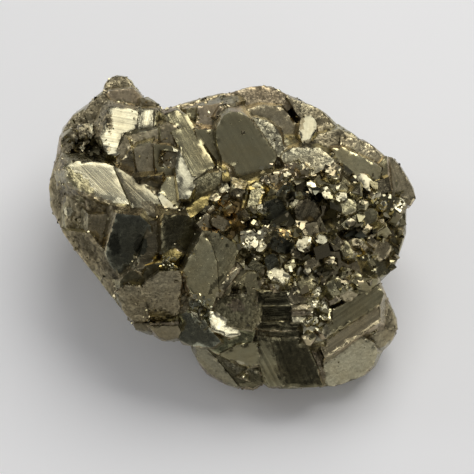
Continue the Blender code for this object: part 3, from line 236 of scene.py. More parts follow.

# Patches that differ from the rest of their face: middle and half size in (u, v), their turn from u
# towards v in degrees, what the tone is multiplied by, tint and grain. Those that multiply the tone
# by well over one, pale or fresh and smooth, are painted highlights: glints and bright streaks.
PATCHES_AND_PAINTED_GLINTS = [
    ((-21.6, 5.9), (3.6, 0.5), -18, 0.80, BROWN, 0.80),
    # Painted highlight: a white glint on the lower lip of pale_left.
    ((-16.9, 5.1), (1.4, 0.45), -10, 1.90, PALE, 0.00),
    ((-12.4, 3.9), (2.0, 0.9), -35, 0.70, BROWN, 0.10),
    ((-23.4, 8.2), (2.8, 0.9), -42, 0.75, OLIVE, 0.45),
    ((-23.2, 16.3), (1.4, 1.1), 0, 0.60, BROWN, 0.85),
    ((-14.3, -1.3), (1.0, 1.5), 0, 0.45, SLATE, 0.05),
    ((-18.2, -1.1), (0.9, 1.6), 0, 0.45, SLATE, 0.05),
    # Painted highlight: a bright fleck on the flank.
    ((-25.3, 3.8), (0.6, 0.7), 0, 1.90, PALE, 0.10),
    ((-22.5, -1.5), (1.0, 2.6), 40, 0.60, BROWN, 0.90),
    ((-26.4, 6.5), (0.7, 2.2), 0, 0.65, BROWN, 0.90),
    ((-19.0, -5.0), (0.5, 2.4), 40, 0.55, BROWN, 0.90),
    ((-19.2, 17.4), (0.5, 1.7), 10, 0.55, BROWN, 0.85),
    ((-15.6, 20.0), (2.6, 0.4), -10, 0.80, BROWN, 0.80),
    ((-14.9, 9.0), (0.5, 1.2), 20, 0.40, BROWN, 0.60),
    ((10.6, 14.0), (1.3, 0.6), 20, 0.55, BROWN, 0.60),
    ((9.6, 17.6), (0.5, 1.6), 0, 0.60, BROWN, 0.40),
    ((-1.6, -9.2), (2.0, 0.5), 10, 0.45, OLIVE, 0.60),
    ((-3.0, -6.8), (0.4, 2.2), -35, 0.40, OLIVE, 0.20),
    ((-0.4, -7.9), (0.35, 1.1), -32, 0.30, BROWN, 0.10),
    ((-1.6, -7.1), (0.30, 1.3), -30, 0.40, BROWN, 0.10),
    # Painted highlights: two bright streaks along the fan ridge.
    ((-2.3, -7.6), (0.28, 1.5), -29, 1.40, FRESH, 0.05),
    ((-0.9, -6.2), (0.28, 1.4), -30, 1.45, FRESH, 0.05),
    ((0.0, -10.2), (1.3, 0.9), 0, 1.05, ROSE, 0.40),
    # Painted highlights: two bright streaks on the foot.
    ((-0.2, -19.6), (2.4, 0.32), -36, 1.90, FRESH, 0.05),
    ((1.2, -19.2), (1.8, 0.28), -34, 1.70, FRESH, 0.05),
]
# Seams that are not darkened: middle and half size in (u, v), and turn.
UNDARKENED_SEAMS = [((-17.1, 7.6), (3.8, 0.9), -70), ((-10.6, 4.8), (1.6, 0.7), -45),
               ((-11.9, 0.4), (3.0, 0.6), 85), ((-2.2, -14.2), (2.0, 0.5), -8)]
PATCH_RAGGEDNESS = 0.45  # how far the noise shifts their edges, as a share of their size
PATCH_RAG_SIZE = 0.7  # of that noise, in millimetres
PATCH_LEAST_FACING = 0.15  # of the show face's normal, by which a patch's ground faces it

# Single faces of the druse that stand out: where they are in (u, v), tone and tint. Their tones are
# partly tarnish and partly painted light; those well over one, pale, are painted glints.
FACET_LOOKS_AND_GLINTS = [
    ((11.2, 7.3), 1.78, PALE), ((13.2, 6.6), 0.87, PALE), ((15.5, 6.0), 0.84, PALE),
    ((9.5, 6.1), 2.53, PALE), ((3.7, 4.2), 0.79, PALE), ((2.8, 2.2), 0.19, PALE),
    ((16.3, 4.4), 0.80, OLIVE), ((9.9, -1.0), 0.65, PALE), ((12.5, -0.3), 0.44, PALE),
    ((6.1, -5.5), 0.72, PALE), ((2.2, -0.6), 0.99, PALE), ((3.5, -1.4), 0.50, PALE),
    ((7.9, -4.2), 0.28, OLIVE), ((10.4, -5.0), 0.48, PALE), ((11.8, -8.1), 0.97, PALE),
    ((11.6, -9.8), 2.28, PALE), ((12.9, -10.2), 0.89, PALE), ((11.6, -12.1), 0.37, PALE),
    ((10.4, -6.7), 0.91, OLIVE), ((16.2, -1.9), 0.43, OLIVE), ((17.6, -0.7), 0.39, BROWN),
    ((2.8, 5.9), 0.62, OLIVE), ((24.1, 4.7), 1.80, PALE), ((6.5, -1.2), 0.23, SLATE),
    ((9.3, -2.5), 0.25, BROWN), ((5.2, -3.8), 0.35, SLATE), ((5.6, 4.0), 0.18, SLATE),
    ((7.2, 6.6), 0.86, SLATE), ((11.2, -4.2), 0.75, BROWN),
    ((6.7, 0.5), 1.12, AMBER), ((-2.4, 2.0), 0.64, BROWN), ((19.6, 3.0), 0.93, OLIVE),
    ((21.6, -2.0), 1.31, BROWN),
]

# Large smooth crystals of the druse that its small ones leave bare: middle in (u, v) and radius.
CLEARINGS = [
    ((5.6, 4.0), 1.5), ((10.4, 3.8), 1.7), ((7.2, 6.6), 1.2), ((14.2, 1.2), 1.5),
    ((6.5, -1.2), 1.2), ((5.2, -3.8), 1.1), ((9.3, -2.5), 0.9), ((11.2, -4.2), 0.9),
    ((16.3, 4.4), 1.2), ((10.4, -6.7), 1.1), ((2.8, 5.9), 1.1), ((16.6, -0.6), 1.0),
    ((19.6, 3.0), 1.0), ((21.6, -2.0), 1.1), ((14.0, -3.6), 1.0), ((-2.4, 2.0), 1.1),
    ((6.1, -5.5), 0.8),
]

# Fields of the crust: centre and half size in (u, v), the ranges of tones and of the small
# crystals' widths, the tints to draw from, and the lean of the faces that the small crystals
# share, if they do. Where fields overlap, the first one holds.
SPARKLING = (0.08, 0.48)
DRUSE_FIELDS = [
    ((6.5, -1.2), (1.8, 1.2), (0.12, 0.35), (0.3, 0.8), (SLATE, OLIVE), None),
    ((9.4, -2.3), (1.3, 0.8), (0.20, 0.45), (0.3, 0.8), (BROWN,), None),
    ((5.2, -3.9), (1.2, 1.2), (0.12, 0.35), (0.3, 0.8), (SLATE,), None),
    ((10.8, -5.1), (2.0, 1.2), (0.18, 0.50), (0.4, 1.0), (BROWN, SLATE), None),
    ((2.5, -1.2), (2.1, 2.0), (0.85, 1.30), (0.3, 1.0), (PALE, PALE, FRESH), SPARKLING),
    ((7.0, -6.0), (2.7, 1.6), (0.85, 1.30), (0.4, 1.2), (PALE, PALE, OLIVE), SPARKLING),
    ((8.9, -3.7), (1.2, 0.8), (0.80, 1.15), (0.4, 1.0), (OLIVE, FRESH), SPARKLING),
    ((11.9, -10.6), (1.4, 3.6), (0.80, 1.25), (0.3, 0.9), (PALE, OLIVE), SPARKLING),
    ((5.4, 4.0), (2.2, 2.6), (0.16, 0.46), (0.7, 2.2), (SLATE, SLATE, OLIVE), None),
    ((9.6, 6.5), (3.2, 1.3), (0.12, 0.42), (0.7, 2.0), (BROWN, SLATE), None),
    ((10.9, 3.9), (2.2, 2.0), (0.25, 0.55), (0.7, 2.0), (ROSE, BROWN), None),
    ((13.7, 1.4), (1.7, 1.6), (0.40, 0.75), (0.6, 1.8), (OLIVE,), None),
    ((17.0, 0.9), (2.3, 1.1), (0.28, 0.68), (0.6, 1.6), (BROWN, SLATE), None),
    ((13.9, -4.6), (1.8, 4.2), (0.30, 0.80), (0.6, 2.0), (OLIVE, OLIVE, BROWN), None),
    ((12.9, 7.4), (2.4, 1.8), (0.70, 1.20), (0.4, 1.2), (PALE, OLIVE, FRESH), SPARKLING),
    ((16.3, 5.4), (2.2, 1.6), (0.75, 1.20), (0.3, 1.0), (PALE, OLIVE, FRESH), SPARKLING),
    ((22.6, 5.4), (2.2, 1.4), (0.70, 1.20), (0.3, 1.0), (PALE, GOLD, FRESH), SPARKLING),
    ((18.2, -2.9), (2.6, 0.9), (0.80, 1.20), (0.3, 0.9), (GOLD, PALE, OLIVE), SPARKLING),
    ((-2.0, 2.6), (3.0, 3.0), (0.40, 0.85), (0.4, 1.4), (AMBER, BROWN, BROWN, OLIVE), None),
    ((3.0, 5.6), (1.6, 2.8), (0.50, 0.95), (0.3, 0.9), (GOLD, OLIVE, BROWN), SPARKLING),
    ((6.4, 9.2), (3.6, 1.8), (0.55, 1.15), (0.3, 1.0), (BROWN, ROSE, FRESH), None),
    ((20.6, 1.2), (5.6, 8.2), (0.58, 1.05), (0.6, 2.4), (BROWN, OLIVE, OLIVE), None),
    ((12.0, 1.0), (14.0, 9.6), (0.52, 1.12), (0.6, 2.2), (BROWN, OLIVE, FRESH), None),
    ((-22.6, 13.2), (3.8, 2.2), (0.40, 0.95), (0.4, 1.2), (BROWN, BROWN, FRESH), None),
    ((-10.6, 11.6), (1.2, 1.3), (0.70, 1.20), (0.3, 0.9), (BROWN, PALE), SPARKLING),
    ((-5.4, -10.8), (1.9, 2.3), (0.60, 1.20), (0.3, 0.9), (PALE, OLIVE, SLATE), SPARKLING),
    ((-9.8, -3.8), (2.2, 1.0), (0.70, 1.20), (0.2, 0.7), (PALE, GOLD, OLIVE), SPARKLING),
]


def crystal_faces(node):
    """Return the solid as a bmesh whose coplanar triangles are joined in whole crystal faces."""
    solid = bmesh.new()
    solid.from_mesh(node.data)
    bmesh.ops.remove_doubles(solid, verts=solid.verts, dist=1e-7)
    bmesh.ops.dissolve_limit(solid, angle_limit=FLAT_ANGLE, verts=solid.verts, edges=solid.edges)
    solid.faces.ensure_lookup_table()
    solid.verts.index_update()
    solid.faces.index_update()
    solid.edges.index_update()
    return solid


def coplanar_groups(solid):
    """Return each face's group number, one for every set of touching faces in one plane."""
    group = [-1] * len(solid.faces)
    count = 0
    for seed in solid.faces:
        if group[seed.index] >= 0:
            continue
        group[seed.index] = count
        waiting = [seed]
        while waiting:
            face = waiting.pop()
            for edge in face.edges:
                for other in edge.link_faces:
                    if group[other.index] < 0 and face.normal.angle(other.normal, 1.0) < FLAT_ANGLE:
                        group[other.index] = count
                        waiting.append(other)
        count += 1
    return group


def field_at(u, v):
    """Return the field of the crust at (u, v), or None outside them all."""
    for field in DRUSE_FIELDS:
        (centre_u, centre_v), (half_u, half_v) = field[:2]
        if ((u - centre_u) / half_u) ** 2 + ((v - centre_v) / half_v) ** 2 < 1.0:
            return field
    return None


def set_face(looks, member, tone, tint, grain):
    """Store one face's tone, tint and grain."""
    looks["tone"][member] = tone
    looks["tint"][member] = tint
    looks["grain"][member] = grain


def draw_face(looks, face, draw):
    """Give an unnamed face its look: its field's on the druse, or a tarnished one elsewhere."""
    middle = face.calc_center_median()
    u, v, w = show_coordinates(np.array(middle)[None])[0]
    field = field_at(u, v) if face.normal.dot(W_AXIS) > 0.0 and w > DRUSE_LEAST_W else None
    if field:
        _, _, tones, _, tints, _ = field
        tone = draw.uniform(*tones)
        tint = draw.choice(tints)
        if face.calc_area() > BED_AREA * MM * MM:
            tone = min(tone, BED_TONE)
            tint = draw.choice(BED_TINTS)
        grain = draw.uniform(*DRUSE_GRAIN)
    else:
        coarseness = 0.5 + PLAIN_GRAIN_SPREAD * noise.noise(middle / (PLAIN_GRAIN_SIZE * MM))
        grain = float(np.clip(coarseness, *PLAIN_GRAIN))
        tint = draw.choice(PLAIN_TINTS)
        tone = draw.uniform(*PLAIN_TONES)
    set_face(looks, face.index, tone, tint, grain)
    if face.calc_area() > LINED_AREA * MM * MM:
        longest = max(face.edges, key=lambda edge: edge.calc_length())
        along = (longest.verts[1].co - longest.verts[0].co).normalized()
        across = along.cross(face.normal).normalized()
        looks["across"][face.index] = across * draw.uniform(*PLAIN_LINES)


def finish_faces(solid):
    """Return arrays over the faces: tone, tint, grain and the direction across growth lines."""
    count = len(solid.faces)
    looks = {"tone": np.ones(count), "tint": np.ones((count, 3)), "grain": np.zeros(count),
             "across": np.zeros((count, 3))}
    group = coplanar_groups(solid)
    members = {}
    for face in solid.faces:
        members.setdefault(group[face.index], []).append(face.index)
        draw_face(looks, face, random.Random(FINISH_SEED + group[face.index]))

    tree = BVHTree.FromBMesh(solid)
    # Named faces take their tone, which is partly painted light and shade, with tint, grain and
    # lines.
    for (u, v), tone, tint, grain, *lines in FACE_FINISHES_AND_PAINTED_LIGHT.values():
        degrees, strength = lines or (0, 0.0)
        _, normal, index, _ = tree.ray_cast(show_point(u, v, ABOVE_W), -W_AXIS)
        angle = math.radians(degrees)
        along = show_vector(math.cos(angle), math.sin(angle), 0.0)
        along = (along - normal * along.dot(normal)).normalized()
        for member in members[group[index]]:
            set_face(looks, member, tone, tint, grain)
            looks["across"][member] = along.cross(normal).normalized() * strength
    # Single druse faces: tones partly painted light, the brightest ones painted glints.
    for (u, v), tone, tint in FACET_LOOKS_AND_GLINTS:
        _, _, index, _ = tree.ray_cast(show_point(u, v, ABOVE_W), -W_AXIS)
        for member in members[group[index]]:
            set_face(looks, member, tone, tint, FACET_GRAIN)
            looks["across"][member] = 0.0
    return looks


# ---- Dividing the faces ------------------------------------------

def spacing_at(z):
    """Return the spacing of the divisions, in metres, at a height."""
    share = min(1.0, max(0.0, (z / MM - COARSE_BELOW) / SPACING_CHANGE + 1.0))
    return (COARSE_SPACING + (FINE_SPACING - COARSE_SPACING) * share) * MM


def divided_edges(solid, points):
    """Divide every edge evenly, add its points to the list and return their numbers."""
    inner = {}
    for edge in solid.edges:
        start, end = (vert.co for vert in edge.verts)
        count = max(1, round((end - start).length / spacing_at(0.5 * (start.z + end.z))))
        numbers = []
        for step in range(1, count):
            numbers.append(len(points))
            points.append(start.lerp(end, step / count))
        inner[edge.index] = numbers
    return inner


def boundary_of(face, inner):
    """Return the numbers of the points round a face, those on its edges included."""
    ring = []
    for loop in face.loops:
        ring.append(loop.vert.index)
        numbers = inner[loop.edge.index]
        ring.extend(numbers if loop.edge.verts[0] == loop.vert else reversed(numbers))
    return ring


def points_inside(ring, spacing, rng):
    """Return a jittered triangular grid of points inside a flat ring, clear of its edges."""
    low = ring.min(0)
    high = ring.max(0)
    row_height = spacing * math.sqrt(0.75)
    rows = int((high[1] - low[1]) / row_height)
    columns = int((high[0] - low[0]) / spacing) + 1
    if rows < 1 or columns < 2:
        return np.zeros((0, 2))
    row, column = np.mgrid[0:rows, 0:columns]
    grid = np.stack([low[0] + (column + 0.5 * (row % 2) + 0.25) * spacing,
                     low[1] + (row + 0.7) * row_height], -1).reshape(-1, 2)
    grid += rng.uniform(-GRID_JITTER, GRID_JITTER, grid.shape) * spacing
    start = ring
    end = np.roll(ring, -1, 0)
    span = end - start
    from_start = grid[:, None] - start[None]
    share = (from_start * span).sum(-1) / np.maximum((span * span).sum(-1), 1e-12)
    share = np.clip(share, 0.0, 1.0)
    gap = np.linalg.norm(from_start - share[..., None] * span, axis=-1).min(1)
    upward = (start[None, :, 1] <= grid[:, None, 1]) != (end[None, :, 1] <= grid[:, None, 1])
    rise = np.where(np.abs(span[:, 1]) < 1e-12, 1e-12, span[:, 1])
    crossing = start[None, :, 0] + (grid[:, None, 1] - start[None, :, 1]) / rise * span[None, :, 0]
    inside = ((upward & (grid[:, None, 0] < crossing)).sum(1) % 2) == 1
    return grid[inside & (gap > EDGE_CLEARANCE * spacing)]


def divide_faces(solid):
    """Divide all faces in small triangles. Return the points, the triangles and each one's face."""
    rng = np.random.default_rng(DIVIDING_SEED)
    points = [vert.co.copy() for vert in solid.verts]
    inner = divided_edges(solid, points)
    triangles = []
    owner = []
    for face in solid.faces:
        ring = boundary_of(face, inner)
        if len(ring) == 3:
            triangles.append(ring)
            owner.append(face.index)
            continue
        normal = face.normal
        side = normal.orthogonal().normalized()
        other = normal.cross(side)
        origin = points[ring[0]].copy()
        offsets = [points[number] - origin for number in ring]
        flat = np.array([(offset.dot(side), offset.dot(other)) for offset in offsets]) / MM
        extra = points_inside(flat, spacing_at(origin.z) / MM, rng)
        coords = [Vector(pair) for pair in np.concatenate([flat, extra])]
        outline = [list(range(len(ring)))]
        made, _, faces, sources, _, _ = delaunay_2d_cdt(coords, [], outline, 1, 1e-6)
        numbers = []
        for place, source in zip(made, sources):
            on_ring = [i for i in source if i < len(ring)]
            if on_ring:
                numbers.append(ring[on_ring[0]])
            else:
                numbers.append(len(points))
                points.append(origin + (place.x * side + place.y * other) * MM)
        for corners in faces:
            triangles.append([numbers[i] for i in corners])
            owner.append(face.index)
    return np.array([tuple(point) for point in points]), np.array(triangles), np.array(owner)


# ---- Relief ------------------------------------------------------

def crease_trees(solid):
    """Return search trees of points along the outward edges and along the valleys."""
    samples = {True: [], False: []}
    for edge in solid.edges:
        if len(edge.link_faces) != 2:
            continue
        bend = edge.calc_face_angle_signed(0.0)
        if abs(bend) < CREASE_ANGLE:
            continue
        start, end = (vert.co for vert in edge.verts)
        count = max(1, int((end - start).length / (CREASE_STEP * MM)))
        samples[bend > 0.0].extend(start.lerp(end, (step + 0.5) / count) for step in range(count))
    trees = []
    for outward in (True, False):
        tree = KDTree(len(samples[outward]))
        for number, place in enumerate(samples[outward]):
            tree.insert(place, number)
        tree.balance()
        trees.append(tree)
    return trees


def distances(points, tree):
    """Return each point's distance to the nearest point of a tree, in millimetres."""
    return np.array([tree.find(point)[2] for point in points]) / MM


def area_normals(points, triangles):
    """Return the triangles' normals, each twice its triangle's area long."""
    corners = points[triangles]
    return np.cross(corners[:, 1] - corners[:, 0], corners[:, 2] - corners[:, 0])


def point_sums(count, triangles, values):
    """Return for each point the sum of the values of the triangles round it."""
    total = np.zeros((count,) + values.shape[1:])
    for corner in range(3):
        np.add.at(total, triangles[:, corner], values)
    return total


def point_normals(points, triangles):
    """Return the points' normals, averaged over the triangles round them."""
    normals = point_sums(len(points), triangles, area_normals(points, triangles))
    return normals / np.maximum(np.linalg.norm(normals, axis=1, keepdims=True), 1e-20)


def neighbour_means(points, triangles):
    """Return the mean of each point's neighbours."""
    total = np.zeros_like(points)
    count = np.zeros(len(points))
    for a, b in ((0, 1), (1, 2), (2, 0)):
        for here, there in ((a, b), (b, a)):
            np.add.at(total, triangles[:, here], points[triangles[:, there]])
            np.add.at(count, triangles[:, here], 1.0)
    return total / np.maximum(count, 1.0)[:, None]


def noise_at(points, size, octaves=1):
    """Return Perlin noise of a feature size in millimetres at the points."""
    scaled = points / (size * MM)
    if octaves == 1:
        return np.array([noise.noise(point) for point in scaled])
    return np.array([noise.fractal(point, 0.6, 2.1, octaves) for point in scaled])


def patch_reach(places, middle, half_size, degrees):
    """Return how far places lie from the middle of an oval patch, where one is its edge."""
    cosine = math.cos(math.radians(degrees))
    sine = math.sin(math.radians(degrees))
    du = places[:, 0] - middle[0]
    dv = places[:, 1] - middle[1]
    along = (du * cosine + dv * sine) / half_size[0]
    across = (dv * cosine - du * sine) / half_size[1]
    return np.hypot(along, across)


def patched_looks(points, triangles, looks, owner):
    """Return the triangles' tone, tint and grain, with the patches and painted glints laid over
    their faces' own.
    """
    tone = looks["tone"][owner]
    tint = looks["tint"][owner]
    grain = looks["grain"][owner]
    middles = points[triangles].mean(1)
    across = area_normals(points, triangles)
    facing = across @ np.array(W_AXIS) > PATCH_LEAST_FACING * np.linalg.norm(across, axis=1)
    places = show_coordinates(middles)
    ragged = PATCH_RAGGEDNESS * noise_at(middles, PATCH_RAG_SIZE)
    for middle, half_size, degrees, share, patch_tint, patch_grain in PATCHES_AND_PAINTED_GLINTS:
        inside = facing & (patch_reach(places, middle, half_size, degrees) + ragged < 1.0)
        tone[inside] *= share
        tint[inside] = patch_tint
        grain[inside] = patch_grain
    return tone, tint, grain


def valley_darkening(points, valley_gap):
    """Return how close each point is to a valley, from none to one, where the material darkens it.
    """
    darkening = np.clip(1.0 - valley_gap / VALLEY_REACH, 0.0, 1.0)
    places = show_coordinates(points)
    for middle, half_size, degrees in UNDARKENED_SEAMS:
        darkening *= np.clip(patch_reach(places, middle, half_size, degrees) - 0.5, 0.0, 1.0)
    return darkening


def wear_and_grow(points, triangles, grain, edge_gap):
    """Round and chip the edges, crown the faces and roughen the coarse ones."""
    shared = point_sums(len(points), triangles, np.ones(len(triangles)))
    point_grain = point_sums(len(points), triangles, grain) / np.maximum(shared, 1.0)
    normals = point_normals(points, triangles)
    on_edge = edge_gap < EDGE_HALF_WIDTH
    rounding = (EDGE_ROUNDING * on_edge)[:, None]
    worn = points + (neighbour_means(points, triangles) - points) * rounding

    near_edge = np.clip(1.0 - edge_gap / CHIP_REACH, 0.0, 1.0)
    chips = noise_at(points, CHIP_SIZE) + CHIP_GRAIN * point_grain - CHIP_LEVEL
    chips = np.clip(chips, 0.0, 1.0) * near_edge
    rough = noise_at(points, GRAIN_SIZE, 3) * point_grain
    crown = noise_at(points, CROWN_SIZE)
    inward = CHIP_DEPTH * chips + GRAIN_DEPTH * (GRAIN_LEVEL - rough) * point_grain
    inward -= CROWN_DEPTH * crown
    worn -= normals * (inward * MM)[:, None]
    worn[:, 2] = np.maximum(worn[:, 2], 0.0)
    worn[points[:, 2] < 1e-6, 2] = 0.0
    return worn, point_grain


# ---- Meshes with attributes --------------------------------------

def add_attribute(mesh, name, kind, domain, values):
    """Store one value for each point or face."""
    layer = mesh.attributes.new(name, kind, domain)
    field = {"FLOAT": "value", "FLOAT_VECTOR": "vector", "FLOAT_COLOR": "color"}[kind]
    layer.data.foreach_set(field, np.asarray(values, dtype=np.float32).ravel())


def mesh_piece(name, points, triangles, material, tone, tint):
    """Return a new object of plain triangles, with each triangle's tone and tint."""
    mesh = bpy.data.meshes.new(name)
    mesh.from_pydata(points.tolist(), [], triangles.tolist())
    mesh.materials.append(material)
    add_attribute(mesh, "tone", "FLOAT", "FACE", tone)
    add_attribute(mesh, "tint", "FLOAT_COLOR", "FACE", np.insert(tint, 3, 1.0, axis=1))
    piece = bpy.data.objects.new(name, mesh)
    bpy.context.scene.collection.objects.link(piece)
    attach(piece, "root")
    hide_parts(NODE)
    return piece


# ---- Druse -------------------------------------------------------

HABIT_COUNT = 24  # different shapes of small crystals
HABIT_CUTS = (2, 6)  # planes that cleave each of them
HABIT_REACH = (0.30, 0.62)  # how far those planes are from its middle
STRETCH = (0.65, 1.35)
CRUST_TRIES = 30000  # spots drawn for the crust
CRUST_SPACING = 0.95  # between neighbours, as a share of their mean width
CRUST_SINK = (0.26, 0.50)  # how deep a crystal's middle lies, as a share of its width
CRUST_EXPONENT = 1.6  # above one, small crystals outnumber large ones
CRUST_LEAST_FACING = 0.55  # how much of a crystal's ground faces as the show face does
CRUST_RIM_SINK = 0.5  # deeper yet where the ground turns away from that
SPARKLE_STRAY = 11.0  # degrees that crystals of a sparkling field stray from its lean
SPARKLE_SHARE = 0.55  # of a sparkling field's crystals that keep to its lean at all
FACET_TONES = (0.70, 1.20)  # what a single facet's tone differs by
GRIT_COUNT = 2200  # grains in the valleys and on the coarse faces
GRIT_WIDTHS = (0.16, 0.50)
GRIT_SINK = (0.10, 0.40)
GRIT_TINTS = (BROWN, OLIVE, FRESH)
GRIT_SWARM_SIZE = 3.2  # of the noise that gathers it, in millimetres
GRIT_SWARMING = 1.6  # how strongly that noise gathers it
GRIT_VALLEY_REACH = 0.7
GRIT_ELSEWHERE = 0.25  # how much of it lies away from the valleys
GRIT_SEED = 5
GRIT_TONES = (0.45, 1.00)


def crystal_habits(rng):
    """Return small crystal shapes of width one: points, triangles and each triangle's facet."""
    habits = []
    for _ in range(HABIT_COUNT):
        shape = bmesh.new()
        bmesh.ops.create_cube(shape, size=1.0)
        for _ in range(rng.randint(*HABIT_CUTS)):
            normal = Vector([rng.gauss(0.0, 1.0) for _ in range(3)]).normalized()
            geometry = shape.verts[:] + shape.edges[:] + shape.faces[:]
            place = normal * rng.uniform(*HABIT_REACH)
            cut = bmesh.ops.bisect_plane(shape, geom=geometry, plane_co=place, plane_no=normal,
                                         clear_outer=True)
            rim = [item for item in cut["geom_cut"] if isinstance(item, bmesh.types.BMEdge)]
            if len(rim) > 2:
                bmesh.ops.edgeloop_fill(shape, edges=rim)
        bmesh.ops.recalc_face_normals(shape, faces=shape.faces)
        facet_layer = shape.faces.layers.int.new("facet")
        for number, face in enumerate(shape.faces):
            face[facet_layer] = number
        bmesh.ops.triangulate(shape, faces=shape.faces)
        shape.verts.index_update()
        habits.append((np.array([tuple(vert.co) for vert in shape.verts]),
                       np.array([[vert.index for vert in face.verts] for face in shape.faces]),
                       np.array([face[facet_layer] for face in shape.faces])))
        shape.free()
    return habits


def shared_turn(lean, rng):
    """Return a turn whose third axis leans as given on the show face, off by a few degrees."""
    outward = show_vector(lean[0], lean[1], math.sqrt(1.0 - lean[0] ** 2 - lean[1] ** 2))
    spin = Matrix.Rotation(rng.uniform(0.0, math.tau), 3, "Z")
    turn = outward.to_track_quat("Z", "Y").to_matrix() @ spin
    stray = [math.radians(rng.gauss(0.0, SPARKLE_STRAY)) for _ in range(3)]
    return Euler(stray).to_matrix() @ turn


def loose_turn(rng):
    """Return a turn with no preferred direction."""
    return Euler([rng.uniform(0.0, math.tau) for _ in range(3)]).to_matrix()


def crust_spots(rng):
    """Return spots for the crust's crystals, each with its width and field, kept apart."""
    columns = [field[0][0] + side * field[1][0] for field in DRUSE_FIELDS for side in (-1, 1)]
    rows = [field[0][1] + side * field[1][1] for field in DRUSE_FIELDS for side in (-1, 1)]
    taken = {}
    spots = []
    for _ in range(CRUST_TRIES):
        u = rng.uniform(min(columns), max(columns))
        v = rng.uniform(min(rows), max(rows))
        field = field_at(u, v)
        if field is None:
            continue
        low, high = field[3]
        width = low + (high - low) * rng.random() ** CRUST_EXPONENT
        cell = (math.floor(u), math.floor(v))
        cells = [(cell[0] + du, cell[1] + dv) for du in (-1, 0, 1) for dv in (-1, 0, 1)]
        near = [spot for beside in cells for spot in taken.get(beside, ())]
        if any(math.hypot(u - other_u, v - other_v) < 0.5 * CRUST_SPACING * (width + other_width)
               for other_u, other_v, other_width in near):
            continue
        taken.setdefault(cell, []).append((u, v, width))
        spots.append((u, v, width, field))
    return spots


def crust_crystals(tree, rng):
    """Return the crystals of the crust: position, turn, width, tone and tint of each."""
    planted = []
    for u, v, width, (_, _, tones, _, tints, lean) in crust_spots(rng):
        if any(math.hypot(u - middle[0], v - middle[1]) < radius for middle, radius in CLEARINGS):
            continue
        place, normal, _, _ = tree.ray_cast(show_point(u, v, ABOVE_W), -W_AXIS)
        if place is None or normal.dot(W_AXIS) < CRUST_LEAST_FACING:
            continue
        turn = shared_turn(lean, rng) if lean and rng.random() < SPARKLE_SHARE else loose_turn(rng)
        sink = rng.uniform(*CRUST_SINK) + CRUST_RIM_SINK * (1.0 - normal.dot(W_AXIS))
        middle = place - normal * sink * width * MM
        planted.append((np.array(middle), turn, width, rng.uniform(*tones), rng.choice(tints)))
    return planted


def grit_grains(points, normals, valley_gap, point_grain, rng):
    """Return the grit that lies in valleys and on coarse faces, in the same form."""
    patchy = np.clip(0.5 + GRIT_SWARMING * noise_at(points, GRIT_SWARM_SIZE), 0.0, 1.0)
    valley = np.clip(1.0 - valley_gap / GRIT_VALLEY_REACH, 0.0, 1.0)
    share = patchy * point_grain * (GRIT_ELSEWHERE + valley)
    order = np.random.default_rng(GRIT_SEED)
    chosen = order.choice(len(points), GRIT_COUNT, replace=False, p=share / share.sum())
    planted = []
    for number in chosen:
        width = GRIT_WIDTHS[0] + (GRIT_WIDTHS[1] - GRIT_WIDTHS[0]) * rng.random() ** CRUST_EXPONENT
        middle = points[number] - normals[number] * rng.uniform(*GRIT_SINK) * width * MM
        tint = rng.choice(GRIT_TINTS)
        planted.append((middle, loose_turn(rng), width, rng.uniform(*GRIT_TONES), tint))
    return planted


def druse_mesh(planted, rng):
    """Return the joined points, triangles, tones and tints of all the small crystals."""
    habits = crystal_habits(rng)
    points, triangles, tones, tints = [], [], [], []
    base = 0
    for place, turn, width, tone, tint in planted:
        shape, corners, facets = rng.choice(habits)
        stretch = np.array([rng.uniform(*STRETCH) for _ in range(3)])
        body = (shape * stretch * width * MM) @ np.array(turn).T + place
        if body[:, 2].min() < 0.0:
            continue
        facet_tones = tone * np.array([rng.uniform(*FACET_TONES) for _ in range(facets.max() + 1)])
        points.append(body)
        triangles.append(corners + base)
        tones.append(facet_tones[facets])
        tints.append(np.tile(tint, (len(corners), 1)))
        base += len(body)
    return [np.concatenate(part) for part in (points, triangles, tones, tints)]


# ---- Materials ---------------------------------------------------

PYRITE_COLOUR = (0.440, 0.408, 0.274, 1.0)
DARKENING_COLOUR = (0.050, 0.042, 0.026, 1.0)
FILM_BROWN = (0.98, 0.90, 0.78, 1.0)
FILM_DUST = (0.62, 0.60, 0.56, 1.0)

# Noises of the materials: features to the millimetre, detail and roughness.
FINE_STEPS = (4.5, 3.0, 0.65)
BROAD_STEPS = (1.1, 2.0, 0.5)
LINE_BANDS = (2.2, 3.0, 0.6)
COARSE_LUMPS = (1.4, 4.0, 0.6)
PIT_SWARMS = (0.22, 2.0, 0.5)
PIT_SPOTS = (2.4, 3.0, 0.6)
FILM_PATCHES = (0.20, 3.0, 0.6)
FILM_DULLING = (1.6, 4.0, 0.7)
# The next noise gives the patches of painted highlight along the outward edges.
EDGE_HIGHLIGHT_PATCHES = (1.3, 2.0, 0.5)
VALLEY_DARK_PATCHES = (1.1, 3.0, 0.6)

FACE_GRAINS = 2.6  # tiny facets to the millimetre on the large crystals
SMALL_CRYSTAL_GRAINS = 4.0

# Relief of the materials, in metres.
LINE_RELIEF = 0.030 * MM
COARSE_RELIEF = 0.16 * MM
PIT_DEPTH = 0.06 * MM
SMALL_CRYSTAL_RELIEF = 0.02 * MM

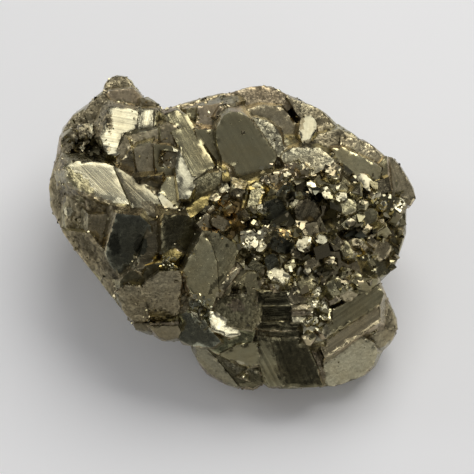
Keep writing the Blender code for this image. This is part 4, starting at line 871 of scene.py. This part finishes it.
FACE_ROUGHNESS = (0.17, 0.30)  # where the film is bright and where it is dull
SMALL_CRYSTAL_ROUGHNESS = (0.14, 0.30)
COARSE_ROUGHNESS = 0.22  # what coarse crystal adds to it
DARKENING_ROUGHNESS = 0.3  # what the dark pits and valleys add to it
LINE_STRETCH = 0.028  # of the noise, along the growth lines
LINE_TONES = (0.62, 1.16)  # of the darkest and the brightest band
EDGE_HIGHLIGHT_GAIN = 0.6  # painted highlight: how much brighter the outward edges are at most
FILM_BROWNING = 0.6  # how far the film turns brown, and dusty, at its thickest
FILM_DUSTING = 0.30
PIT_LEVEL = 0.90  # of the noise, above which there are pits
PIT_SHARPNESS = 18.0  # how steep their sides are
MOTTLING = 1.1  # spread of tone between the tiny facets of coarse crystal
FACET_TILT = 0.55  # how far they tilt
PIT_DIRT = 0.65
VALLEY_DARKNESS = 0.8


class Wiring:
    """Short ways to add and link nodes in one tree."""

    def __init__(self, tree):
        self.tree = tree

    def node(self, kind, inputs=None, **settings):
        """Add a node, set its properties, and link or set its inputs."""
        made = self.tree.nodes.new(kind)
        for key, value in settings.items():
            setattr(made, key, value)
        for key, value in (inputs or {}).items():
            self.feed(made.inputs[key], value)
        return made

    def feed(self, socket, value):
        """Link an output to a socket, or set the socket's value."""
        if isinstance(value, bpy.types.NodeSocket):
            self.tree.links.new(value, socket)
        else:
            socket.default_value = value

    def group(self, group, inputs):
        """Add a shader group and return its outputs."""
        return self.node("ShaderNodeGroup", inputs, node_tree=group).outputs

    def attribute(self, name, output="Fac"):
        """Return one output of a named attribute."""
        return self.node("ShaderNodeAttribute", attribute_name=name).outputs[output]

    def maths(self, operation, *values, clamp=False):
        """Return the result of a Math node."""
        made = self.node("ShaderNodeMath", operation=operation, use_clamp=clamp)
        for socket, value in zip(made.inputs, values):
            self.feed(socket, value)
        return made.outputs[0]

    def times(self, first, second):
        """Return a product."""
        return self.maths("MULTIPLY", first, second)

    def plus(self, first, second):
        """Return a sum."""
        return self.maths("ADD", first, second)

    def vector(self, operation, *values, scale=None):
        """Return the result of a Vector Math node."""
        made = self.node("ShaderNodeVectorMath", operation=operation)
        for socket, value in zip(made.inputs, values):
            self.feed(socket, value)
        if scale is not None:
            self.feed(made.inputs["Scale"], scale)
        return made.outputs["Value" if operation in ("DOT_PRODUCT", "LENGTH") else "Vector"]

    def noise(self, where, per_mm, detail, roughness):
        """Return the value of a noise texture of so many features to the millimetre."""
        made = self.node("ShaderNodeTexNoise", {"Vector": where, "Scale": per_mm / MM,
                                                "Detail": detail, "Roughness": roughness})
        return made.outputs["Fac"]

    def remap(self, value, low, high, to_low=0.0, to_high=1.0):
        """Return a value stretched from one range to another and kept inside it."""
        made = self.node("ShaderNodeMapRange", {"Value": value, "From Min": low, "From Max": high,
                                                "To Min": to_low, "To Max": to_high})
        return made.outputs["Result"]

    def mix(self, share, first, second, **settings):
        """Return a mix of two values, or of two colours."""
        made = self.node("ShaderNodeMix", **settings)
        for key, value in (("Factor", share), ("A", first), ("B", second)):
            self.feed(made.inputs[key], value)
        return made.outputs["Result"]

    def multiplied(self, share, first, second):
        """Return one colour multiplied by a share of another."""
        return self.mix(share, first, second, data_type="RGBA", blend_type="MULTIPLY")

    def relief(self, height):
        """Return the normal that a height in metres gives."""
        bump = self.node("ShaderNodeBump", {"Height": height, "Strength": 1.0, "Distance": 1.0})
        return bump.outputs["Normal"]


def start_group(name, inputs, outputs):
    """Return the wiring of a new shader group with a position, its given values and its results."""
    group = bpy.data.node_groups.new(name, "ShaderNodeTree")
    for label, kind, value in [("Position", "Vector", None)] + inputs:
        socket = group.interface.new_socket(label, in_out="INPUT", socket_type="NodeSocket" + kind)
        if value is not None:
            socket.default_value = value
    for label, kind in outputs:
        group.interface.new_socket(label, in_out="OUTPUT", socket_type="NodeSocket" + kind)
    given = group.nodes.new("NodeGroupInput").outputs
    result = group.nodes.new("NodeGroupOutput").inputs
    return Wiring(group), given, result


def growth_line_group():
    """Return a group for striations: fine parallel steps across the face, with broader bands."""
    wiring, given, result = start_group(
        "growth lines", [("Across", "Vector", None)],
        [("Height", "Float"), ("Bands", "Float"), ("Strength", "Float")])
    strength = wiring.vector("LENGTH", given["Across"])
    across = wiring.vector("NORMALIZE", given["Across"])
    offset = wiring.vector("DOT_PRODUCT", given["Position"], across)
    sideways = wiring.vector("SCALE", across, scale=offset)
    drawn_out = wiring.vector("SCALE", given["Position"], scale=LINE_STRETCH)
    where = wiring.vector("ADD", drawn_out, sideways)
    fine = wiring.noise(where, *FINE_STEPS)
    broad = wiring.remap(wiring.noise(where, *BROAD_STEPS), 0.42, 0.60)
    height = wiring.plus(wiring.times(fine, 0.6), wiring.times(broad, 0.5))
    wiring.feed(result["Height"], wiring.times(height, strength))
    wiring.feed(result["Bands"], wiring.remap(wiring.noise(where, *LINE_BANDS), 0.35, 0.65))
    wiring.feed(result["Strength"], strength)
    return wiring.tree


def grain_group():
    """Return a group for granular crystal: tiny facets, their relief, tilt and tone."""
    wiring, given, result = start_group(
        "granular crystal", [("Per Millimetre", "Float", 3.0)],
        [("Height", "Float"), ("Tilt", "Vector"), ("Speckle", "Float")])
    where = given["Position"]
    scale = wiring.maths("DIVIDE", given["Per Millimetre"], MM)
    cells = wiring.node("ShaderNodeTexVoronoi", {"Vector": where, "Scale": scale}).outputs
    lumps = wiring.noise(where, *COARSE_LUMPS)
    height = wiring.maths("SUBTRACT", lumps, wiring.times(cells["Distance"], 0.35))
    speckle = wiring.node("ShaderNodeSeparateColor", {"Color": cells["Color"]})
    wiring.feed(result["Height"], height)
    wiring.feed(result["Tilt"], wiring.vector("SUBTRACT", cells["Color"], (0.5, 0.5, 0.5)))
    wiring.feed(result["Speckle"], speckle.outputs["Blue"])
    return wiring.tree


def pit_group():
    """Return a group for small dark pits, alone or in swarms."""
    wiring, given, result = start_group(
        "pits", [("Amount", "Float", 0.5)], [("Mask", "Float")])
    swarm = wiring.noise(given["Position"], *PIT_SWARMS)
    spots = wiring.noise(given["Position"], *PIT_SPOTS)
    level = wiring.plus(spots, wiring.times(swarm, 0.35))
    limit = wiring.maths("SUBTRACT", PIT_LEVEL, wiring.times(given["Amount"], 0.14))
    above = wiring.maths("SUBTRACT", level, limit)
    wiring.feed(result["Mask"], wiring.maths("MULTIPLY", above, PIT_SHARPNESS, clamp=True))
    return wiring.tree


def tarnish_group():
    """Return a group for the thin tarnish film: soft patches of colour and of dullness."""
    wiring, given, result = start_group(
        "tarnish", [("Colour", "Color", (1.0, 1.0, 1.0, 1.0))],
        [("Colour", "Color"), ("Dullness", "Float")])
    wide = wiring.remap(wiring.noise(given["Position"], *FILM_PATCHES), 0.38, 0.66)
    fine = wiring.remap(wiring.noise(given["Position"], *FILM_DULLING), 0.40, 0.75)
    browned = wiring.multiplied(wiring.times(wide, FILM_BROWNING), given["Colour"], FILM_BROWN)
    dusty = wiring.multiplied(wiring.times(fine, FILM_DUSTING), browned, FILM_DUST)
    wiring.feed(result["Colour"], dusty)
    wiring.feed(result["Dullness"], fine)
    return wiring.tree


def start_material(name, groups):
    """Return a material, its wiring and inputs, the position, tarnished colour and dullness."""
    material = bpy.data.materials.new(name)
    material.use_nodes = True
    wiring = Wiring(material.node_tree)
    inputs = material.node_tree.nodes["Principled BSDF"].inputs
    inputs["Metallic"].default_value = 1.0
    where = wiring.node("ShaderNodeTexCoord").outputs["Object"]
    tint = wiring.attribute("tint", "Color")
    film = wiring.group(groups["tarnish"], {"Position": where, "Colour": tint})
    colour = wiring.multiplied(1.0, PYRITE_COLOUR, film["Colour"])
    return material, wiring, inputs, where, colour, film["Dullness"]


def crystal_face_material(groups):
    """Return the material of the large crystals."""
    material, wiring, inputs, where, colour, dullness = start_material("pyrite faces", groups)
    coarse = wiring.attribute("grain")
    valley = wiring.attribute("valley")
    across = wiring.attribute("across", "Vector")
    lines = wiring.group(groups["lines"], {"Position": where, "Across": across})
    grains = wiring.group(groups["grain"], {"Position": where, "Per Millimetre": FACE_GRAINS})
    amount = wiring.maths("MULTIPLY_ADD", coarse, 0.7, 0.05)
    pits = wiring.group(groups["pits"], {"Position": where, "Amount": amount})["Mask"]

    bands = wiring.remap(lines["Bands"], 0.0, 1.0, *LINE_TONES)
    line_tone = wiring.mix(lines["Strength"], 1.0, bands, data_type="FLOAT")
    # Painted highlight: the outward edges are brightened in patches, as worn edges that catch the
    # light.
    worn = wiring.remap(wiring.noise(where, *EDGE_HIGHLIGHT_PATCHES), 0.45, 0.65, 0.0, EDGE_HIGHLIGHT_GAIN)
    edge_highlight = wiring.plus(wiring.times(wiring.attribute("edge"), worn), 1.0)
    speckle = wiring.times(wiring.maths("SUBTRACT", grains["Speckle"], 0.5), coarse)
    mottled = wiring.plus(wiring.times(speckle, MOTTLING), 1.0)
    tone = wiring.times(wiring.attribute("tone"), line_tone)
    tone = wiring.times(wiring.times(tone, mottled), edge_highlight)
    # Darker and rougher along the valleys, in patches, and in the pits.
    valley_patches = wiring.remap(wiring.noise(where, *VALLEY_DARK_PATCHES), 0.40, 0.65, 0.0, VALLEY_DARKNESS)
    valley_dark = wiring.times(wiring.times(valley, valley), valley_patches)
    darkening = wiring.maths("MAXIMUM", valley_dark, wiring.times(pits, PIT_DIRT))
    toned = wiring.vector("SCALE", colour, scale=tone)
    wiring.feed(inputs["Base Color"], wiring.mix(darkening, toned, DARKENING_COLOUR, data_type="RGBA"))

    smooth = wiring.remap(dullness, 0.0, 1.0, *FACE_ROUGHNESS)
    rough = wiring.plus(smooth, wiring.times(coarse, COARSE_ROUGHNESS))
    dull = wiring.maths("ADD", rough, wiring.times(darkening, DARKENING_ROUGHNESS), clamp=True)
    wiring.feed(inputs["Roughness"], dull)

    height = wiring.times(lines["Height"], LINE_RELIEF)
    lumps = wiring.times(wiring.times(grains["Height"], coarse), COARSE_RELIEF)
    height = wiring.plus(height, lumps)
    height = wiring.maths("SUBTRACT", height, wiring.times(pits, PIT_DEPTH))
    tilt_share = wiring.times(wiring.maths("POWER", coarse, 1.5), FACET_TILT)
    tilt = wiring.vector("SCALE", grains["Tilt"], scale=tilt_share)
    tilted = wiring.vector("ADD", wiring.relief(height), tilt)
    wiring.feed(inputs["Normal"], wiring.vector("NORMALIZE", tilted))
    return material


def small_crystal_material(groups):
    """Return the material of the small crystals, fresher and brighter than the large ones."""
    material, wiring, inputs, where, colour, dullness = start_material("pyrite druse", groups)
    toned = wiring.vector("SCALE", colour, scale=wiring.attribute("tone"))
    wiring.feed(inputs["Base Color"], toned)
    wiring.feed(inputs["Roughness"], wiring.remap(dullness, 0.0, 1.0, *SMALL_CRYSTAL_ROUGHNESS))
    inner = {"Position": where, "Per Millimetre": SMALL_CRYSTAL_GRAINS}
    height = wiring.times(wiring.group(groups["grain"], inner)["Height"], SMALL_CRYSTAL_RELIEF)
    wiring.feed(inputs["Normal"], wiring.relief(height))
    return material


# ---- The cluster -------------------------------------------------

def dress_cluster():
    """Build the fine surface of the cluster and the small crystals on it."""
    groups = {"lines": growth_line_group(), "grain": grain_group(), "pits": pit_group(),
              "tarnish": tarnish_group()}
    solid = crystal_faces(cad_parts[NODE])
    looks = finish_faces(solid)
    points, triangles, owner = divide_faces(solid)
    edge_tree, valley_tree = crease_trees(solid)
    edge_gap = distances(points, edge_tree)
    valley_gap = distances(points, valley_tree)
    tone, tint, grain = patched_looks(points, triangles, looks, owner)
    worn, point_grain = wear_and_grow(points, triangles, grain, edge_gap)

    faces = mesh_piece("crystal_faces", worn, triangles, crystal_face_material(groups), tone, tint)
    mesh = faces.data
    add_attribute(mesh, "grain", "FLOAT", "POINT", point_grain)
    add_attribute(mesh, "across", "FLOAT_VECTOR", "FACE", looks["across"][owner])
    add_attribute(mesh, "valley", "FLOAT", "POINT", valley_darkening(points, valley_gap))
    # Closeness to the outward edges, which the material brightens as a painted highlight.
    add_attribute(mesh, "edge", "FLOAT", "POINT", np.clip(1.0 - edge_gap / EDGE_REACH, 0.0, 1.0))
    mesh.shade_smooth()
    mesh.set_sharp_from_angle(angle=SHARP_ANGLE)

    rng = random.Random(DRUSE_SEED)
    planted = crust_crystals(BVHTree.FromBMesh(solid), rng)
    planted += grit_grains(worn, point_normals(worn, triangles), valley_gap, point_grain, rng)
    points, triangles, tone, tint = druse_mesh(planted, rng)
    mesh_piece("small_crystals", points, triangles, small_crystal_material(groups), tone, tint)
    solid.free()


# ---- Studio ------------------------------------------------------

CAMERA_DISTANCE = 0.9
FIELD_WIDTH = 0.0711  # what the frame takes in across the cluster's middle
SENSOR_WIDTH = 36.0  # millimetres of film, the unit of a lens
FLOOR_SIZE = 2.4
FLOOR_COLOUR = (0.86, 0.86, 0.87, 1.0)
FLOOR_GLOW = 0.065  # light from the floor itself, which softens the shadow

# The room's brightness from the horizon, or 0, to straight overhead, or 1.
ROOM_LEVELS = [(0.0, 0.03), (0.25, 0.07), (0.55, 0.16), (0.85, 0.30)]
# Each softbox: name, direction from the cluster, distance, width and height, power and colour.
SOFTBOXES = [
    ("overhead softbox", (0.28, 0.50, 0.82), 0.62, (0.60, 0.46), 2.75, (1.0, 0.99, 0.96)),
    ("left strip", (-0.85, 0.25, 0.45), 0.60, (0.14, 0.30), 0.37, (0.97, 0.98, 1.0)),
    ("front card", (0.35, -0.80, 0.40), 0.60, (0.22, 0.12), 0.19, (1.0, 1.0, 1.0)),
]


def add_camera():
    """Look straight down the show face's normal."""
    lens = bpy.data.cameras.new("camera")
    lens.sensor_width = SENSOR_WIDTH
    lens.lens = SENSOR_WIDTH * CAMERA_DISTANCE / FIELD_WIDTH
    lens.clip_end = 10.0
    camera = bpy.data.objects.new("camera", lens)
    camera.location = SHOW_CENTRE + W_AXIS * CAMERA_DISTANCE
    camera.rotation_euler = W_AXIS.to_track_quat("Z", "Y").to_euler()
    bpy.context.scene.collection.objects.link(camera)
    bpy.context.scene.camera = camera


def add_softbox(name, direction, distance, size, power, colour):
    """Hang a rectangular light that faces the cluster."""
    light = bpy.data.lights.new(name, "AREA")
    light.shape = "RECTANGLE"
    light.size, light.size_y = size
    light.energy = power
    light.color = colour
    lamp = bpy.data.objects.new(name, light)
    towards = Vector(direction).normalized()
    lamp.location = SHOW_CENTRE + towards * distance
    lamp.rotation_euler = towards.to_track_quat("Z", "Y").to_euler()
    bpy.context.scene.collection.objects.link(lamp)


def add_floor():
    """Lay a plain pale floor, lit a little from below to soften the shadow."""
    bpy.ops.mesh.primitive_plane_add(size=FLOOR_SIZE)
    floor = bpy.context.object
    floor.name = "floor"
    material = bpy.data.materials.new("pale floor")
    material.use_nodes = True
    shader = material.node_tree.nodes["Principled BSDF"]
    shader.inputs["Base Color"].default_value = FLOOR_COLOUR
    shader.inputs["Roughness"].default_value = 0.6
    shader.inputs["Emission Color"].default_value = (1.0, 1.0, 1.0, 1.0)
    shader.inputs["Emission Strength"].default_value = FLOOR_GLOW
    floor.data.materials.append(material)


def add_room():
    """Surround the cluster with a dim room that is darkest at the horizon."""
    world = bpy.data.worlds.new("room")
    bpy.context.scene.world = world
    world.use_nodes = True
    wiring = Wiring(world.node_tree)
    direction = wiring.node("ShaderNodeTexCoord").outputs["Generated"]
    height = wiring.node("ShaderNodeSeparateXYZ", {"Vector": direction}).outputs["Z"]
    ramp = wiring.node("ShaderNodeValToRGB", {"Fac": height})
    stops = ramp.color_ramp.elements
    for position, level in ROOM_LEVELS:
        stop = stops[0] if position == 0.0 else stops.new(position)
        stop.position = position
        stop.color = (level, level, level * 1.03, 1.0)
    stops.remove(stops[-1])
    background = world.node_tree.nodes["Background"]
    wiring.feed(background.inputs["Color"], ramp.outputs["Color"])
    background.inputs["Strength"].default_value = 1.0


def light_studio():
    """Set the camera, the floor, the room and the softboxes."""
    add_camera()
    add_floor()
    add_room()
    for softbox in SOFTBOXES:
        add_softbox(*softbox)
    bpy.context.scene.view_settings.view_transform = "Standard"


light_studio()
dress_cluster()
